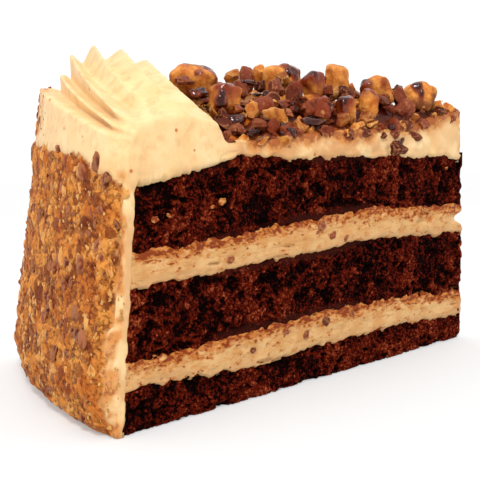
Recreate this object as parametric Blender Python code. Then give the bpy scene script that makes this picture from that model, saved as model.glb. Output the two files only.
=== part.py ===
"""A wedge of chocolate peanut butter layer cake, standing on its base.

Three chocolate layers with two peanut butter fillings, frosting over the top and the outer side,
a star-piped border along the rim, crumbs on the side and a heap of candy on top.
+X points from the rim to the tip along the middle of the wedge, +Z is up, and the origin is
under the middle of the wedge's box. The face cut on the -Y side is called the near one.
Heights are above the base, and radii are measured from the middle of the whole cake.
"""

import math
import random

import bmesh
import bpy
from mathutils import Matrix, Vector, noise

for old in list(bpy.data.objects):
    bpy.data.objects.remove(old)

MM = 0.001
GAP = 0.3 * MM
GOLDEN_ANGLE = math.pi * (3.0 - math.sqrt(5.0))

# The whole cake and the cut
WEDGE_ANGLE = math.radians(36.0)
HALF_ANGLE = WEDGE_ANGLE / 2.0
TIP_HALF_WIDTH = 1.1 * MM
CAKE_RADIUS_AT_BASE = 125.7 * MM
CAKE_RADIUS_AT_TOP = 120.4 * MM
TOP_OF_CAKE = 57.0 * MM

# Heights of the layers' faces, at the tip, in the middle of the wedge and at the rim
BOTTOM_LAYER_TOP = (8.0 * MM, 8.8 * MM, 10.6 * MM)
MIDDLE_LAYER_BASE = (15.2 * MM, 17.0 * MM, 15.6 * MM)
MIDDLE_LAYER_TOP = (33.0 * MM, 34.9 * MM, 33.2 * MM)
TOP_LAYER_BASE = (40.0 * MM, 42.3 * MM, 40.6 * MM)
TOP_LAYER_TOP = (54.3 * MM, 58.6 * MM, 56.4 * MM)
FROSTING_TOP = 64.9 * MM
FROSTING_PEAK = 3.9 * MM
PEAK_INNER_RADIUS = 8.0 * MM
PEAK_OUTER_RADIUS = 24.0 * MM
WAVE_HEIGHT = 0.9 * MM
WAVE_LENGTH = 26.0 * MM
RIM_ROLL = 1.6 * MM
RIM_ROLL_WIDTH = 7.0 * MM
CRUMB_DEPTH = 0.6 * MM
CRUMB_SIZE = 5.0 * MM

# Frosting on the outer side: its outer radius from base to top, and the worn corners at the cuts
SIDE_RADII = (
    (0.0 * MM, 127.2 * MM),
    (3.0 * MM, 130.0 * MM),
    (9.0 * MM, 131.2 * MM),
    (20.0 * MM, 130.0 * MM),
    (31.0 * MM, 128.3 * MM),
    (44.0 * MM, 126.0 * MM),
    (54.0 * MM, 124.3 * MM),
    (64.0 * MM, 123.6 * MM),
)
CORNER_DEPTH = 3.6 * MM
CORNER_WIDTH = 5.0 * MM
CRUMB_COAT_BASE = 2.4 * MM
CRUMB_COAT_TOP = 59.0 * MM
CRUMB_COAT_MARGIN = 5.6 * MM
CRUMB_BIT_SIZES = (3.6 * MM, 6.8 * MM)
CRUMB_ROWS = 9
CRUMB_COLUMNS = 9
SIDE_WAVE_HEIGHT = 0.35 * MM
SIDE_WAVE_LENGTH = 7.0 * MM

# Star-piped border: radius and height of its foot and its ridges, from outside to inside, at the
# near cut, where the knife pressed it down, and at its full height
BORDER_SEAT = 64.2 * MM
SEAT_EASE_START = 72.0 * MM
SEAT_EASE_END = 86.0 * MM
BORDER_NEAR = (
    (123.4 * MM, BORDER_SEAT + GAP),
    (123.5 * MM, 65.7 * MM),
    (123.2 * MM, 67.4 * MM),
    (121.6 * MM, 69.4 * MM),
    (113.0 * MM, 70.4 * MM),
    (104.8 * MM, 71.0 * MM),
    (95.6 * MM, 68.6 * MM),
    (93.2 * MM, BORDER_SEAT + GAP),
)
BORDER_FULL = (
    (123.4 * MM, BORDER_SEAT + GAP),
    (121.8 * MM, 77.2 * MM),
    (116.2 * MM, 81.0 * MM),
    (113.4 * MM, 86.6 * MM),
    (107.0 * MM, 89.0 * MM),
    (99.0 * MM, 87.8 * MM),
    (92.4 * MM, 84.6 * MM),
    (92.8 * MM, BORDER_SEAT + GAP),
)
BORDER_HEART = (107.5 * MM, 66.0 * MM)
BORDER_STATIONS = 14
BORDER_FLANK_START = 113.0 * MM
BORDER_FLANK_END = 121.0 * MM
BORDER_GROOVE = 4.4 * MM
BORDER_RISE = 0.85

# Candy heap
HEAP_INNER_RADIUS = 2.5 * MM
HEAP_OUTER_RADIUS = 91.0 * MM
HEAP_EDGE = 1.0 * MM
HEAP_CROWN = 7.0 * MM
HEAP_SETBACK = 0.8 * MM
HEAP_THIN_LENGTH = 34.0 * MM
HEAP_WAVE_HEIGHT = 0.5 * MM
HEAP_WAVE_LENGTH = 9.0 * MM
SMALL_PIECES = 102
SMALL_PIECE_SIZES = (3.8 * MM, 7.0 * MM)
EDGE_PIECE_SIZES = (3.4 * MM, 5.4 * MM)
EDGE_PIECE_SETBACK = (2.3 * MM, 3.6 * MM)


def between(stations, radius):
    """Height at a radius, from heights at the tip, the middle and the rim."""
    tip, middle, rim = stations
    share = max(0.0, min(1.0, radius / CAKE_RADIUS_AT_TOP))
    if share < 0.5:
        ease = math.sin(share * math.pi)
        return tip + (middle - tip) * ease
    ease = math.sin((share - 0.5) * math.pi)
    return middle + (rim - middle) * ease * ease


def uneven(radius, turn, seed, length=WAVE_LENGTH):
    """Smooth wander between about -1 and 1 over the plan of the wedge."""
    spot = Vector((radius / length, radius * turn / length, seed * 7.3))
    return noise.noise(spot) * 2.0


def smooth_step(low, high, value):
    share = max(0.0, min(1.0, (value - low) / (high - low)))
    return share * share * (3.0 - 2.0 * share)


def at(radius, turn, height):
    """Point at a radius, an angle from the wedge's middle line and a height."""
    blunt = TIP_HALF_WIDTH * (turn / HALF_ANGLE) * (1.0 - radius / CAKE_RADIUS_AT_BASE)
    return Vector((-radius * math.cos(turn), radius * math.sin(turn) + blunt, height))


def cake_radius(height):
    share = height / TOP_OF_CAKE
    return CAKE_RADIUS_AT_BASE + (CAKE_RADIUS_AT_TOP - CAKE_RADIUS_AT_BASE) * share


def side_radius(height):
    """Outer radius of the frosted side, which swells towards the base."""
    for (low, narrow), (high, wide) in zip(SIDE_RADII, SIDE_RADII[1:]):
        if height <= high:
            share = max(0.0, (height - low) / (high - low))
            return narrow + (wide - narrow) * share
    return SIDE_RADII[-1][1]


def corner_loss(turn, radius):
    """How far the knife rounded the side away, next to each cut."""
    to_cut = (HALF_ANGLE - abs(turn)) * radius
    share = max(0.0, 1.0 - to_cut / CORNER_WIDTH)
    return CORNER_DEPTH * share * share


def layer_face(stations, seed, rim_roll=0.0):
    """Height of one face of a layer, as a function of radius and turn."""

    def height(radius, turn):
        level = between(stations, radius) + WAVE_HEIGHT * uneven(radius, turn, seed)
        to_rim = CAKE_RADIUS_AT_TOP - radius
        share = max(0.0, 1.0 - to_rim / RIM_ROLL_WIDTH)
        return level + rim_roll * share * share

    return height


def frosting_face(radius, turn):
    """Top of the frosting, flat where the border is piped on it."""
    peak = FROSTING_PEAK * (1.0 - smooth_step(PEAK_INNER_RADIUS, PEAK_OUTER_RADIUS, radius))
    level = FROSTING_TOP + peak + 0.5 * WAVE_HEIGHT * uneven(radius, turn, 11)
    seat = smooth_step(SEAT_EASE_START, SEAT_EASE_END, radius)
    return level + (BORDER_SEAT - level) * seat


FACES = {
    "base": lambda radius, turn: 0.0,
    "bottom_top": layer_face(BOTTOM_LAYER_TOP, 1),
    "middle_base": layer_face(MIDDLE_LAYER_BASE, 2, 0.3 * RIM_ROLL),
    "middle_top": layer_face(MIDDLE_LAYER_TOP, 3),
    "top_base": layer_face(TOP_LAYER_BASE, 4),
    "top_top": layer_face(TOP_LAYER_TOP, 5, -0.5 * RIM_ROLL),
    "frosting_top": frosting_face,
}


def material(name, colour, roughness):
    made = bpy.data.materials.new(name)
    made.use_nodes = True
    shader = made.node_tree.nodes["Principled BSDF"]
    shader.inputs["Base Color"].default_value = (*colour, 1.0)
    shader.inputs["Roughness"].default_value = roughness
    shader.inputs["Metallic"].default_value = 0.0
    made.diffuse_color = (*colour, 1.0)
    return made


MATERIALS = {
    "cake": material("chocolate_sponge", (0.035, 0.010, 0.006), 0.9),
    "filling": material("peanut_butter_filling", (0.72, 0.46, 0.22), 0.6),
    "frosting": material("peanut_butter_frosting", (0.88, 0.66, 0.38), 0.5),
    "crumbs": material("candy_crumb_coat", (0.42, 0.18, 0.06), 0.7),
    "peanut": material("peanut_butter_candy", (0.62, 0.27, 0.07), 0.45),
    "chocolate": material("milk_chocolate", (0.16, 0.055, 0.03), 0.4),
}


def new_object(name, mesh_data, kind):
    """Links a bmesh to the scene as an object, with its triangles, normals and material set."""
    bmesh.ops.triangulate(mesh_data, faces=mesh_data.faces)
    bmesh.ops.recalc_face_normals(mesh_data, faces=mesh_data.faces)
    mesh = bpy.data.meshes.new(name)
    mesh_data.to_mesh(mesh)
    mesh_data.free()
    mesh.materials.append(MATERIALS[kind])
    made = bpy.data.objects.new(name, mesh)
    bpy.context.scene.collection.objects.link(made)
    return made


def block(counts, position):
    """Closed bmesh from the outside of a box lattice, each corner put in place by a function."""
    made = bmesh.new()
    corners = {}
    along, across, up = counts

    def corner(i, j, k):
        key = (i, j, k)
        if key not in corners:
            corners[key] = made.verts.new(position(i / along, j / across, k / up))
        return corners[key]

    def sheet(first, second, spot):
        for a in range(first):
            for b in range(second):
                ring = [spot(a, b), spot(a + 1, b), spot(a + 1, b + 1), spot(a, b + 1)]
                made.faces.new([corner(*key) for key in ring])

    for k in (0, up):
        sheet(along, across, lambda a, b, k=k: (a, b, k))
    for j in (0, across):
        sheet(along, up, lambda a, b, j=j: (a, j, b))
    for i in (0, along):
        sheet(across, up, lambda a, b, i=i: (i, a, b))
    return made


def slab(name, kind, lower, upper, counts, crumb=0.0):
    """A layer that runs through the wedge from tip to rim, between two uneven faces."""

    def position(x, y, z):
        turn = (2.0 * y - 1.0) * HALF_ANGLE
        reach = x**0.85
        rough = reach * CAKE_RADIUS_AT_BASE
        low = FACES[lower](rough, turn) + (GAP / 2.0 if lower != "base" else 0.0)
        high = FACES[upper](rough, turn) - GAP / 2.0
        height = low + (high - low) * z
        spot = at(reach * cake_radius(height), turn, height)
        if 0.0 < z < 1.0 and x > 0.0:
            pit = crumb * abs(noise.noise(spot / CRUMB_SIZE))
            spot.x += pit * (x == 1.0)
            if y in (0.0, 1.0):
                spot.y -= math.copysign(pit, spot.y)
        return spot

    return new_object(name, block(counts, position), kind)


def cake_layers():
    slab("cake_layer_bottom", "cake", "base", "bottom_top", (16, 6, 2), crumb=CRUMB_DEPTH)
    slab("cake_layer_middle", "cake", "middle_base", "middle_top", (16, 6, 4), crumb=CRUMB_DEPTH)
    slab("cake_layer_top", "cake", "top_base", "top_top", (16, 6, 4), crumb=CRUMB_DEPTH)


def fillings():
    slab("filling_lower", "filling", "bottom_top", "middle_base", (16, 6, 1))
    slab("filling_upper", "filling", "middle_top", "top_base", (16, 6, 1))


def hull(spots):
    """Closed bmesh stretched tightly over a few points."""
    made = bmesh.new()
    for spot in spots:
        made.verts.new(spot)
    shell = bmesh.ops.convex_hull(made, input=made.verts)
    inside = [vert for vert in shell["geom_interior"] if isinstance(vert, bmesh.types.BMVert)]
    bmesh.ops.delete(made, geom=inside, context="VERTS")
    return made


def scaled(spot, size):
    return Vector([spot[axis] * size[axis] for axis in range(3)])


def rock(size, rng, points=8, squareness=0.5):
    """Closed bmesh of an uneven pebble: the hull of points scattered over a rounded box."""
    spots = []
    for index in range(points):
        height = 1.0 - 2.0 * (index + 0.5) / points
        ring = math.sqrt(1.0 - height * height)
        angle = index * GOLDEN_ANGLE + rng.uniform(-0.35, 0.35)
        spot = Vector((ring * math.cos(angle), ring * math.sin(angle), height))
        largest = max(abs(spot.x), abs(spot.y), abs(spot.z))
        spot = spot.lerp(spot / largest * 0.8, squareness) * rng.uniform(0.86, 1.1)
        spots.append(scaled(spot, size) / 2.0)
    return hull(spots)


def boxy(size, rng, socket=False):
    """Closed bmesh of a broken candy cube with soft edges, or of the sharp box round it."""
    made = bmesh.new()
    bmesh.ops.create_cube(made, size=1.0)
    for corner in made.verts:
        corner.co *= rng.uniform(0.82, 1.08)
        corner.co.x += rng.uniform(-0.09, 0.09)
        corner.co.y += rng.uniform(-0.09, 0.09)
    if socket:
        spots = [scaled(corner.co, size) for corner in made.verts]
        made.free()
        return hull(spots)
    bmesh.ops.bevel(
        made,
        geom=made.edges[:] + made.verts[:],
        offset=0.2,
        offset_type="OFFSET",
        segments=2,
        profile=0.55,
        affect="EDGES",
    )
    for corner in made.verts:
        corner.co = scaled(corner.co, size)
    return made


def drop(size):
    """Closed bmesh of a drop of fudge."""
    made = bmesh.new()
    bmesh.ops.create_uvsphere(made, u_segments=8, v_segments=5, radius=0.5)
    for corner in made.verts:
        corner.co = scaled(corner.co, size)
    return made


def put(mesh_data, spot, turn, tilt=0.0, lean=0.0):
    """Turns and moves a bmesh to its place."""
    move = Matrix.Translation(spot) @ Matrix.Rotation(turn, 4, "Z")
    move = move @ Matrix.Rotation(tilt, 4, "X") @ Matrix.Rotation(lean, 4, "Y")
    bmesh.ops.transform(mesh_data, matrix=move, verts=mesh_data.verts)
    return mesh_data


def fuse(target, pieces, operation="UNION", solver="EXACT"):
    """Joins loose bmeshes to an object, or cuts them from it, in one Boolean."""
    group = bpy.data.collections.new(target.name + "_pieces")
    bpy.context.scene.collection.children.link(group)
    for index, piece in enumerate(pieces):
        made = new_object(f"{target.name}_piece_{index}", piece, "frosting")
        bpy.context.scene.collection.objects.unlink(made)
        group.objects.link(made)
    cut = target.modifiers.new("fuse", "BOOLEAN")
    cut.operation = operation
    cut.operand_type = "COLLECTION"
    cut.collection = group
    cut.solver = solver
    bpy.context.view_layer.update()
    done = bpy.data.meshes.new_from_object(
        target.evaluated_get(bpy.context.evaluated_depsgraph_get())
    )
    target.modifiers.clear()
    target.data = done
    for made in list(group.objects):
        bpy.data.objects.remove(made)
    bpy.data.collections.remove(group)
    keep_largest(target)


def room_inside(island):
    """Volume enclosed by the faces of one connected island of corners."""
    faces = {face for vert in island for face in vert.link_faces}
    total = 0.0
    for face in faces:
        first = face.verts[0].co
        for second, third in zip(face.verts[1:], face.verts[2:]):
            total += first.dot(second.co.cross(third.co)) / 6.0
    return total


def keep_largest(target):
    """Drops scraps that a cut left loose."""
    made = bmesh.new()
    made.from_mesh(target.data)
    bmesh.ops.triangulate(made, faces=made.faces)
    unseen = set(made.verts)
    islands = []
    while unseen:
        island = {unseen.pop()}
        front = list(island)
        while front:
            vert = front.pop()
            for edge in vert.link_edges:
                other = edge.other_vert(vert)
                if other in unseen:
                    unseen.discard(other)
                    island.add(other)
                    front.append(other)
        islands.append(island)
    largest = max(islands, key=room_inside)
    scraps = [vert for vert in made.verts if vert not in largest]
    bmesh.ops.delete(made, geom=scraps, context="VERTS")
    made.to_mesh(target.data)
    made.free()


def frosted_side():
    """The frosting round the outer side, with crumbs and chocolate bits pressed into it."""

    def position(x, y, z):
        turn = (2.0 * y - 1.0) * HALF_ANGLE
        height = BORDER_SEAT * z
        inner = cake_radius(height) + GAP
        outer = side_radius(height) - corner_loss(turn, side_radius(height))
        radius = inner + (outer - inner) * x
        if x == 1.0:
            wave = SIDE_WAVE_HEIGHT * uneven(radius, turn, 21, SIDE_WAVE_LENGTH)
            radius += wave * (0.0 < z < 1.0)
        return at(radius, turn, height)

    side = new_object("frosting_side", block((1, 14, 10), position), "crumbs")
    rng = random.Random(36)
    bits = []
    for row in range(CRUMB_ROWS):
        for column in range(CRUMB_COLUMNS):
            shift = 0.5 * (row % 2) - 0.25
            share = (column + 0.5 + shift + rng.uniform(-0.3, 0.3)) / CRUMB_COLUMNS
            turn = (2.0 * share - 1.0) * (HALF_ANGLE - CRUMB_COAT_MARGIN / CAKE_RADIUS_AT_BASE)
            level = (row + 0.5 + rng.uniform(-0.3, 0.3)) / CRUMB_ROWS
            height = CRUMB_COAT_BASE + (CRUMB_COAT_TOP - CRUMB_COAT_BASE) * level
            across = rng.uniform(*CRUMB_BIT_SIZES)
            size = (across * 0.75, across, across * rng.uniform(0.8, 1.3))
            radius = side_radius(height) - corner_loss(turn, side_radius(height)) - 0.15 * size[0]
            bits.append(put(rock(size, rng, 7), at(radius, turn, height), -turn, rng.uniform(0, 3)))
    fuse(side, bits, solver="MANIFOLD")


def frosted_top():
    slab("frosting_top", "frosting", "top_top", "frosting_top", (16, 6, 3))


def border_section(lift, groove):
    """Points round the border's section, with a groove between each two ridges."""
    posts = []
    for near, full in zip(BORDER_NEAR, BORDER_FULL):
        posts.append(Vector(near).lerp(Vector(full), lift))
    heart = Vector(BORDER_HEART)
    spots = []
    last = len(posts) - 2
    for index, (first, second) in enumerate(zip(posts, posts[1:])):
        steps = 2 if index in (0, last) else 5
        depth = 0.0 if index in (0, last) else groove
        for step in range(steps):
            share = step / steps
            spot = first.lerp(second, share)
            dip = depth * (1.0 - abs(2.0 * share**0.8 - 1.0) ** 1.5)
            spots.append(spot + (heart - spot).normalized() * dip)
    spots.append(posts[-1])
    return spots


def piped_border():
    """A thick star-piped rope along the rim, pressed down where the knife went through."""
    made = bmesh.new()
    rings = []
    for step in range(BORDER_STATIONS + 1):
        share = (step / BORDER_STATIONS) ** 1.3
        lift = 1.0 - max(0.0, 1.0 - share / BORDER_RISE) ** 1.5
        turn = (2.0 * share - 1.0) * HALF_ANGLE
        groove = BORDER_GROOVE * smooth_step(-0.02, 0.14, share) * (0.7 + 0.3 * lift)
        ring = []
        for radius, height in border_section(lift, groove):
            outside = smooth_step(BORDER_FLANK_START, BORDER_FLANK_END, radius)
            radius -= corner_loss(turn, radius) * outside
            ring.append(made.verts.new(at(radius, turn, height)))
        rings.append(ring)
    for first, second in zip(rings, rings[1:]):
        for index in range(len(first) - 1):
            made.faces.new((first[index], first[index + 1], second[index + 1], second[index]))
        made.faces.new((first[-1], first[0], second[0], second[-1]))
    made.faces.new(rings[0])
    made.faces.new(rings[-1])
    new_object("piped_border", made, "frosting")


def heap_top(radius, turn):
    """Height of the bare heap of candy crumbs over the frosting."""
    side = 1.0 - abs(turn / HALF_ANGLE) ** 3.0
    length = smooth_step(0.0, HEAP_THIN_LENGTH, radius)
    thickness = HEAP_EDGE + HEAP_CROWN * side * length
    bump = HEAP_WAVE_HEIGHT * uneven(radius, turn, 31, HEAP_WAVE_LENGTH)
    return frosting_face(radius, turn) + thickness + bump


# Candy big enough to be a piece of its own. Each has its kind, its radius and its angle from the
# near cut, the height of its middle, its length, depth and height, its turn, tilt and lean in
# degrees, and the size of the fudge drop on it. Lengths are in millimetres.
CHUNKS = (
    ("peanut", 84.0, 20.0, 76.9, (13.4, 10.0, 9.6), (-24, 8, 12), 5.0),
    ("peanut", 83.2, 8.0, 73.2, (8.4, 8.0, 7.0), (-10, -12, 10), 4.0),
    ("chocolate", 73.0, 6.2, 70.8, (8.6, 5.0, 10.6), (-30, -14, 6), 2.6),
    ("chocolate", 67.0, 22.5, 78.0, (5.8, 6.4, 9.6), (10, 0, 12), 0.0),
    ("chocolate", 61.3, 9.0, 73.6, (6.2, 3.4, 12.0), (-24, -6, 14), 0.0),
    ("peanut", 56.5, 24.0, 77.6, (9.4, 7.6, 8.4), (-36, 6, 6), 3.6),
    ("peanut", 50.6, 15.6, 76.2, (6.0, 6.0, 7.6), (12, -8, -10), 0.0),
    ("peanut", 39.4, 25.5, 77.8, (7.6, 7.0, 9.2), (-24, 4, 8), 0.0),
    ("peanut", 29.0, 21.0, 74.2, (8.2, 6.6, 8.2), (-16, -4, -6), 3.2),
    ("peanut", 37.0, 7.5, 70.7, (5.8, 5.0, 9.6), (-28, 0, 4), 0.0),
    ("peanut", 47.4, 4.6, 69.8, (4.8, 4.6, 7.4), (-12, 6, 0), 0.0),
    ("peanut", 15.4, 16.0, 72.3, (9.0, 6.6, 7.6), (-24, -10, 12), 4.2),
    ("chocolate", 24.4, 5.6, 69.6, (6.8, 4.0, 6.6), (-40, 10, 8), 0.0),
    ("chocolate", 54.2, 6.4, 71.4, (6.0, 4.6, 5.6), (20, 0, 0), 0.0),
    ("chocolate", 42.6, 12.6, 74.6, (6.0, 5.0, 5.8), (-60, 12, 0), 0.0),
    ("peanut", 76.0, 30.0, 74.0, (9.0, 7.8, 8.0), (30, 8, 0), 3.8),
    ("peanut", 64.0, 32.0, 72.4, (8.0, 6.4, 7.0), (50, 0, 10), 0.0),
    ("chocolate", 72.5, 16.0, 76.0, (5.8, 5.4, 7.2), (70, 6, 0), 0.0),
    ("chocolate", 50.5, 32.5, 71.4, (7.6, 4.4, 6.6), (35, 0, 8), 0.0),
    ("peanut", 34.0, 31.5, 71.2, (6.8, 5.4, 6.0), (15, 10, 0), 3.0),
)


def chunk_place(index):
    """Middle point and turns of one big piece of candy."""
    radius, angle, height = CHUNKS[index][1:4]
    spot = at(radius * MM, math.radians(angle) - HALF_ANGLE, height * MM)
    return (spot, *[math.radians(value) for value in CHUNKS[index][5]])


def chunk_body(index, swell=0.0):
    """Closed bmesh of one big piece of candy in its place, or of its socket if it is swollen."""
    kind = CHUNKS[index][0]
    rng = random.Random(100 + index)
    size = [length * MM + swell for length in CHUNKS[index][4]]
    if kind == "peanut":
        body = boxy(size, rng, socket=swell > 0.0)
    else:
        body = rock(size, rng, 11, 0.8)
    return put(body, *chunk_place(index))


def chunk_fudge(index):
    """Closed bmesh of the fudge drop on one big piece of candy."""
    spot, turn, tilt, _ = chunk_place(index)
    size = CHUNKS[index][4]
    across = CHUNKS[index][6] * MM
    top = spot + Vector((0.0, -0.12 * size[1], 0.42 * size[2])) * MM
    return put(drop((across * 1.2, across, across * 0.7)), top, turn, tilt)


def candy_chunks():
    counts = {"peanut": 0, "chocolate": 0}
    for index, chunk in enumerate(CHUNKS):
        kind, fudge = chunk[0], chunk[6]
        counts[kind] += 1
        made = new_object(f"{kind}_chunk_{counts[kind]:02d}", chunk_body(index), kind)
        if fudge:
            fuse(made, [chunk_fudge(index)])


def candy_heap():
    """The bed of small candy pieces, with sockets for the big ones."""

    def position(x, y, z):
        radius = HEAP_INNER_RADIUS + (HEAP_OUTER_RADIUS - HEAP_INNER_RADIUS) * x
        turn = (2.0 * y - 1.0) * (HALF_ANGLE - HEAP_SETBACK / radius * 0.9)
        low = frosting_face(radius, turn) + GAP
        high = heap_top(radius, turn)
        return at(radius, turn, low + (high - low) * z)

    heap = new_object("candy_heap", block((20, 6, 1), position), "peanut")
    taken = [(chunk_place(index)[0], 0.4 * chunk[4][0] * MM) for index, chunk in enumerate(CHUNKS)]
    rng = random.Random(7)
    bits = []
    for index in range(SMALL_PIECES):
        edge = (-1, 0, 1)[index % 3]
        across = rng.uniform(*(EDGE_PIECE_SIZES if edge else SMALL_PIECE_SIZES))
        size = (across, across * rng.uniform(0.6, 1.0), across * rng.uniform(0.6, 0.95))
        share = (index + 0.5) / SMALL_PIECES
        radius = share ** (0.75 if edge else 0.5) * (HEAP_OUTER_RADIUS - 6.0 * MM) + 4.0 * MM
        if edge:
            turn = edge * (HALF_ANGLE - rng.uniform(*EDGE_PIECE_SETBACK) / radius)
        else:
            turn = 0.7 * HALF_ANGLE * math.sin(index * 2.0 * GOLDEN_ANGLE)
        bed = heap_top(radius, turn) + 0.12 * size[2]
        lowest = frosting_face(radius, turn) + GAP + 0.58 * size[2]
        spot = at(radius, turn, max(bed, lowest))
        spin = rng.uniform(0.0, math.pi)
        tilt = rng.uniform(-0.3, 0.3)
        if all((spot - centre).length > 0.25 * across + room for centre, room in taken):
            bits.append(put(rock(size, rng, 7, 0.75), spot, spin, tilt))
    fuse(heap, bits)
    sockets = [chunk_body(index, 2.0 * GAP) for index in range(len(CHUNKS))]
    fuse(heap, sockets, "DIFFERENCE")


def centre_on_base():
    """Moves the whole part so that its box stands centred on the origin."""
    solids = [made for made in bpy.data.objects if made.type == "MESH"]
    spots = [vert.co for made in solids for vert in made.data.vertices]
    low = Vector([min(spot[axis] for spot in spots) for axis in range(3)])
    high = Vector([max(spot[axis] for spot in spots) for axis in range(3)])
    shift = Vector((-(low.x + high.x) / 2.0, -(low.y + high.y) / 2.0, -low.z))
    for made in solids:
        made.data.transform(Matrix.Translation(shift))
        made.data.shade_smooth()
        made.data.set_sharp_from_angle(angle=math.radians(40.0))


def main():
    cake_layers()
    fillings()
    frosted_side()
    frosted_top()
    piped_border()
    candy_chunks()
    candy_heap()
    centre_on_base()


main()
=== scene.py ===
"""The looks of a slice of chocolate peanut butter layer cake, built over the frame of its solids.

The file is laid out as an add-on and is run as a script. Lengths are in metres. Radii are measured
from the middle of the whole cake, which is at the slice's tip, and turns are angles from the
middle line of the wedge. The face cut on the -Y side is called the near one.
"""

import math

import bmesh
import bpy
import numpy as np
from mathutils import Matrix, Vector
from mathutils.bvhtree import BVHTree


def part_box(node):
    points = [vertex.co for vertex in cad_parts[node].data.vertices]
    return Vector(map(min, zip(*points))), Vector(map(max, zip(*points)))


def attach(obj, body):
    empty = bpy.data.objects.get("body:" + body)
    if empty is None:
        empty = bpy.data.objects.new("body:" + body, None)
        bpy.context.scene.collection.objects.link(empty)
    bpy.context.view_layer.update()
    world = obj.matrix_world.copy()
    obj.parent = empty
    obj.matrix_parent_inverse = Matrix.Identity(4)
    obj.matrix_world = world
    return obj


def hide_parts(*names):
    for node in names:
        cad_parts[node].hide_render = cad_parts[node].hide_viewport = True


bl_info = {
    "name": "Layer Cake Slice",
    "version": (1, 0, 0),
    "blender": (4, 5, 0),
    "location": "View3D > Sidebar > Cake",
    "description": "Builds the sponge, cream, crumb coat, candy and light of a layer cake slice",
    "category": "Add Mesh",
}

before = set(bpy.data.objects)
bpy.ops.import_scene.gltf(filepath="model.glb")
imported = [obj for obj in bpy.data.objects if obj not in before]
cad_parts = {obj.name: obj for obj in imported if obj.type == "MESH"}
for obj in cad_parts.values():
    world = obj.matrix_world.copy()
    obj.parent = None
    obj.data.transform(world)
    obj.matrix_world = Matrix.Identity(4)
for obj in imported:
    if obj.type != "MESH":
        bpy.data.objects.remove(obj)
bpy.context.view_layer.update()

MM = 0.001

# The wedge, read from the frame
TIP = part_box("cake_layer_bottom")[1].x
BASE_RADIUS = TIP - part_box("cake_layer_bottom")[0].x
TOP_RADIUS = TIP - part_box("frosting_top")[0].x
TOP_OF_CAKE = 57.0 * MM
HALF_ANGLE = math.radians(18.0)
TIP_HALF_WIDTH = 1.1 * MM

# The upper sponge's dome next to the border
SHOULDER_RADIUS = 88.0 * MM
SHOULDER_RISE = 2.9 * MM
SHOULDER_WIDTH = 15.0 * MM
RIM_RISE = 1.1 * MM

# The frosted side: outer radius from the base up, and the corners worn away at the cuts
SIDE_HEIGHTS = np.array((0.0, 3.0, 9.0, 20.0, 31.0, 44.0, 54.0, 64.0)) * MM
SIDE_RADII = np.array((127.2, 130.0, 131.2, 130.0, 128.3, 126.0, 124.3, 123.6)) * MM
CORNER_DEPTH = 3.6 * MM
CORNER_WIDTH = 5.0 * MM
CORNER_CREAM = 1.6 * MM

# How far layers reach into each other, how far the frosting reaches into the cake under it, and
# the steps of a layer's mesh from cut to cut
OVERLAP = 1.3 * MM
FROSTING_BED = 1.5 * MM
LAYER_ACROSS = 6

# The torn crumb of the sponge: its clumps, pores and tears, and how far it is broken out in all
CLUMP_SIZE = 2.6 * MM
PORE_SIZE = 1.6 * MM
TEAR_SIZE = 3.6 * MM
PORE_DEPTH = 1.0 * MM
CRUMB_LEVEL = 0.75 * MM

# The tip: a bit missing from the middle sponge, and the frosting rubbed back
TIP_GAP_HEIGHT = 36.6 * MM
TIP_GAP_HALF = 2.4 * MM
TIP_GAP_DEPTH = 3.0 * MM
TIP_WORN = 1.4 * MM

# The border: its foot, its inner edge, the middle of its section, and the angles around that
# middle where the outline that is read from its solid starts and ends
BORDER_FOOT = 64.3 * MM
BORDER_INNER_RADIUS = 92.8 * MM
BORDER_HEART_RADIUS = 107.5 * MM
BORDER_HEART_HEIGHT = 66.0 * MM
BORDER_START = math.radians(-4.5)
BORDER_END = math.radians(185.0)

# Rows of corners up the side, over the border and along the top, then across and through it all
SIDE_ROWS = 60
BORDER_ROWS = 230
TOP_ROWS = 110
FROSTING_ACROSS = 120
FROSTING_THROUGH = 16

# The crumb coat: how deep it is pressed in, how thick its grains lie, and its corners up and along
COAT_BED = 0.7 * MM
COAT_THICKNESS = 0.55 * MM
COAT_TOP = 66.0 * MM
COAT_ROWS = 190
COAT_COLUMNS = 240

# The heap of candy, its bed's corners along and across, and the steps of a chunk's mesh
HEAP_INNER_RADIUS = 2.5 * MM
HEAP_OUTER_RADIUS = 91.0 * MM
HEAP_EDGE = 1.0 * MM
HEAP_CROWN = 7.0 * MM
HEAP_THIN_LENGTH = 34.0 * MM
BED_ROWS = 220
BED_COLUMNS = 110
CHUNK_STEP = 0.42 * MM

# How far a drop of fudge may be from the candy that it fell on, and how wide its threads are
DROP_REACH = 2.0 * MM
THREAD_ON_BITS = 0.09
THREAD_ON_CHUNKS = 0.11

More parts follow.
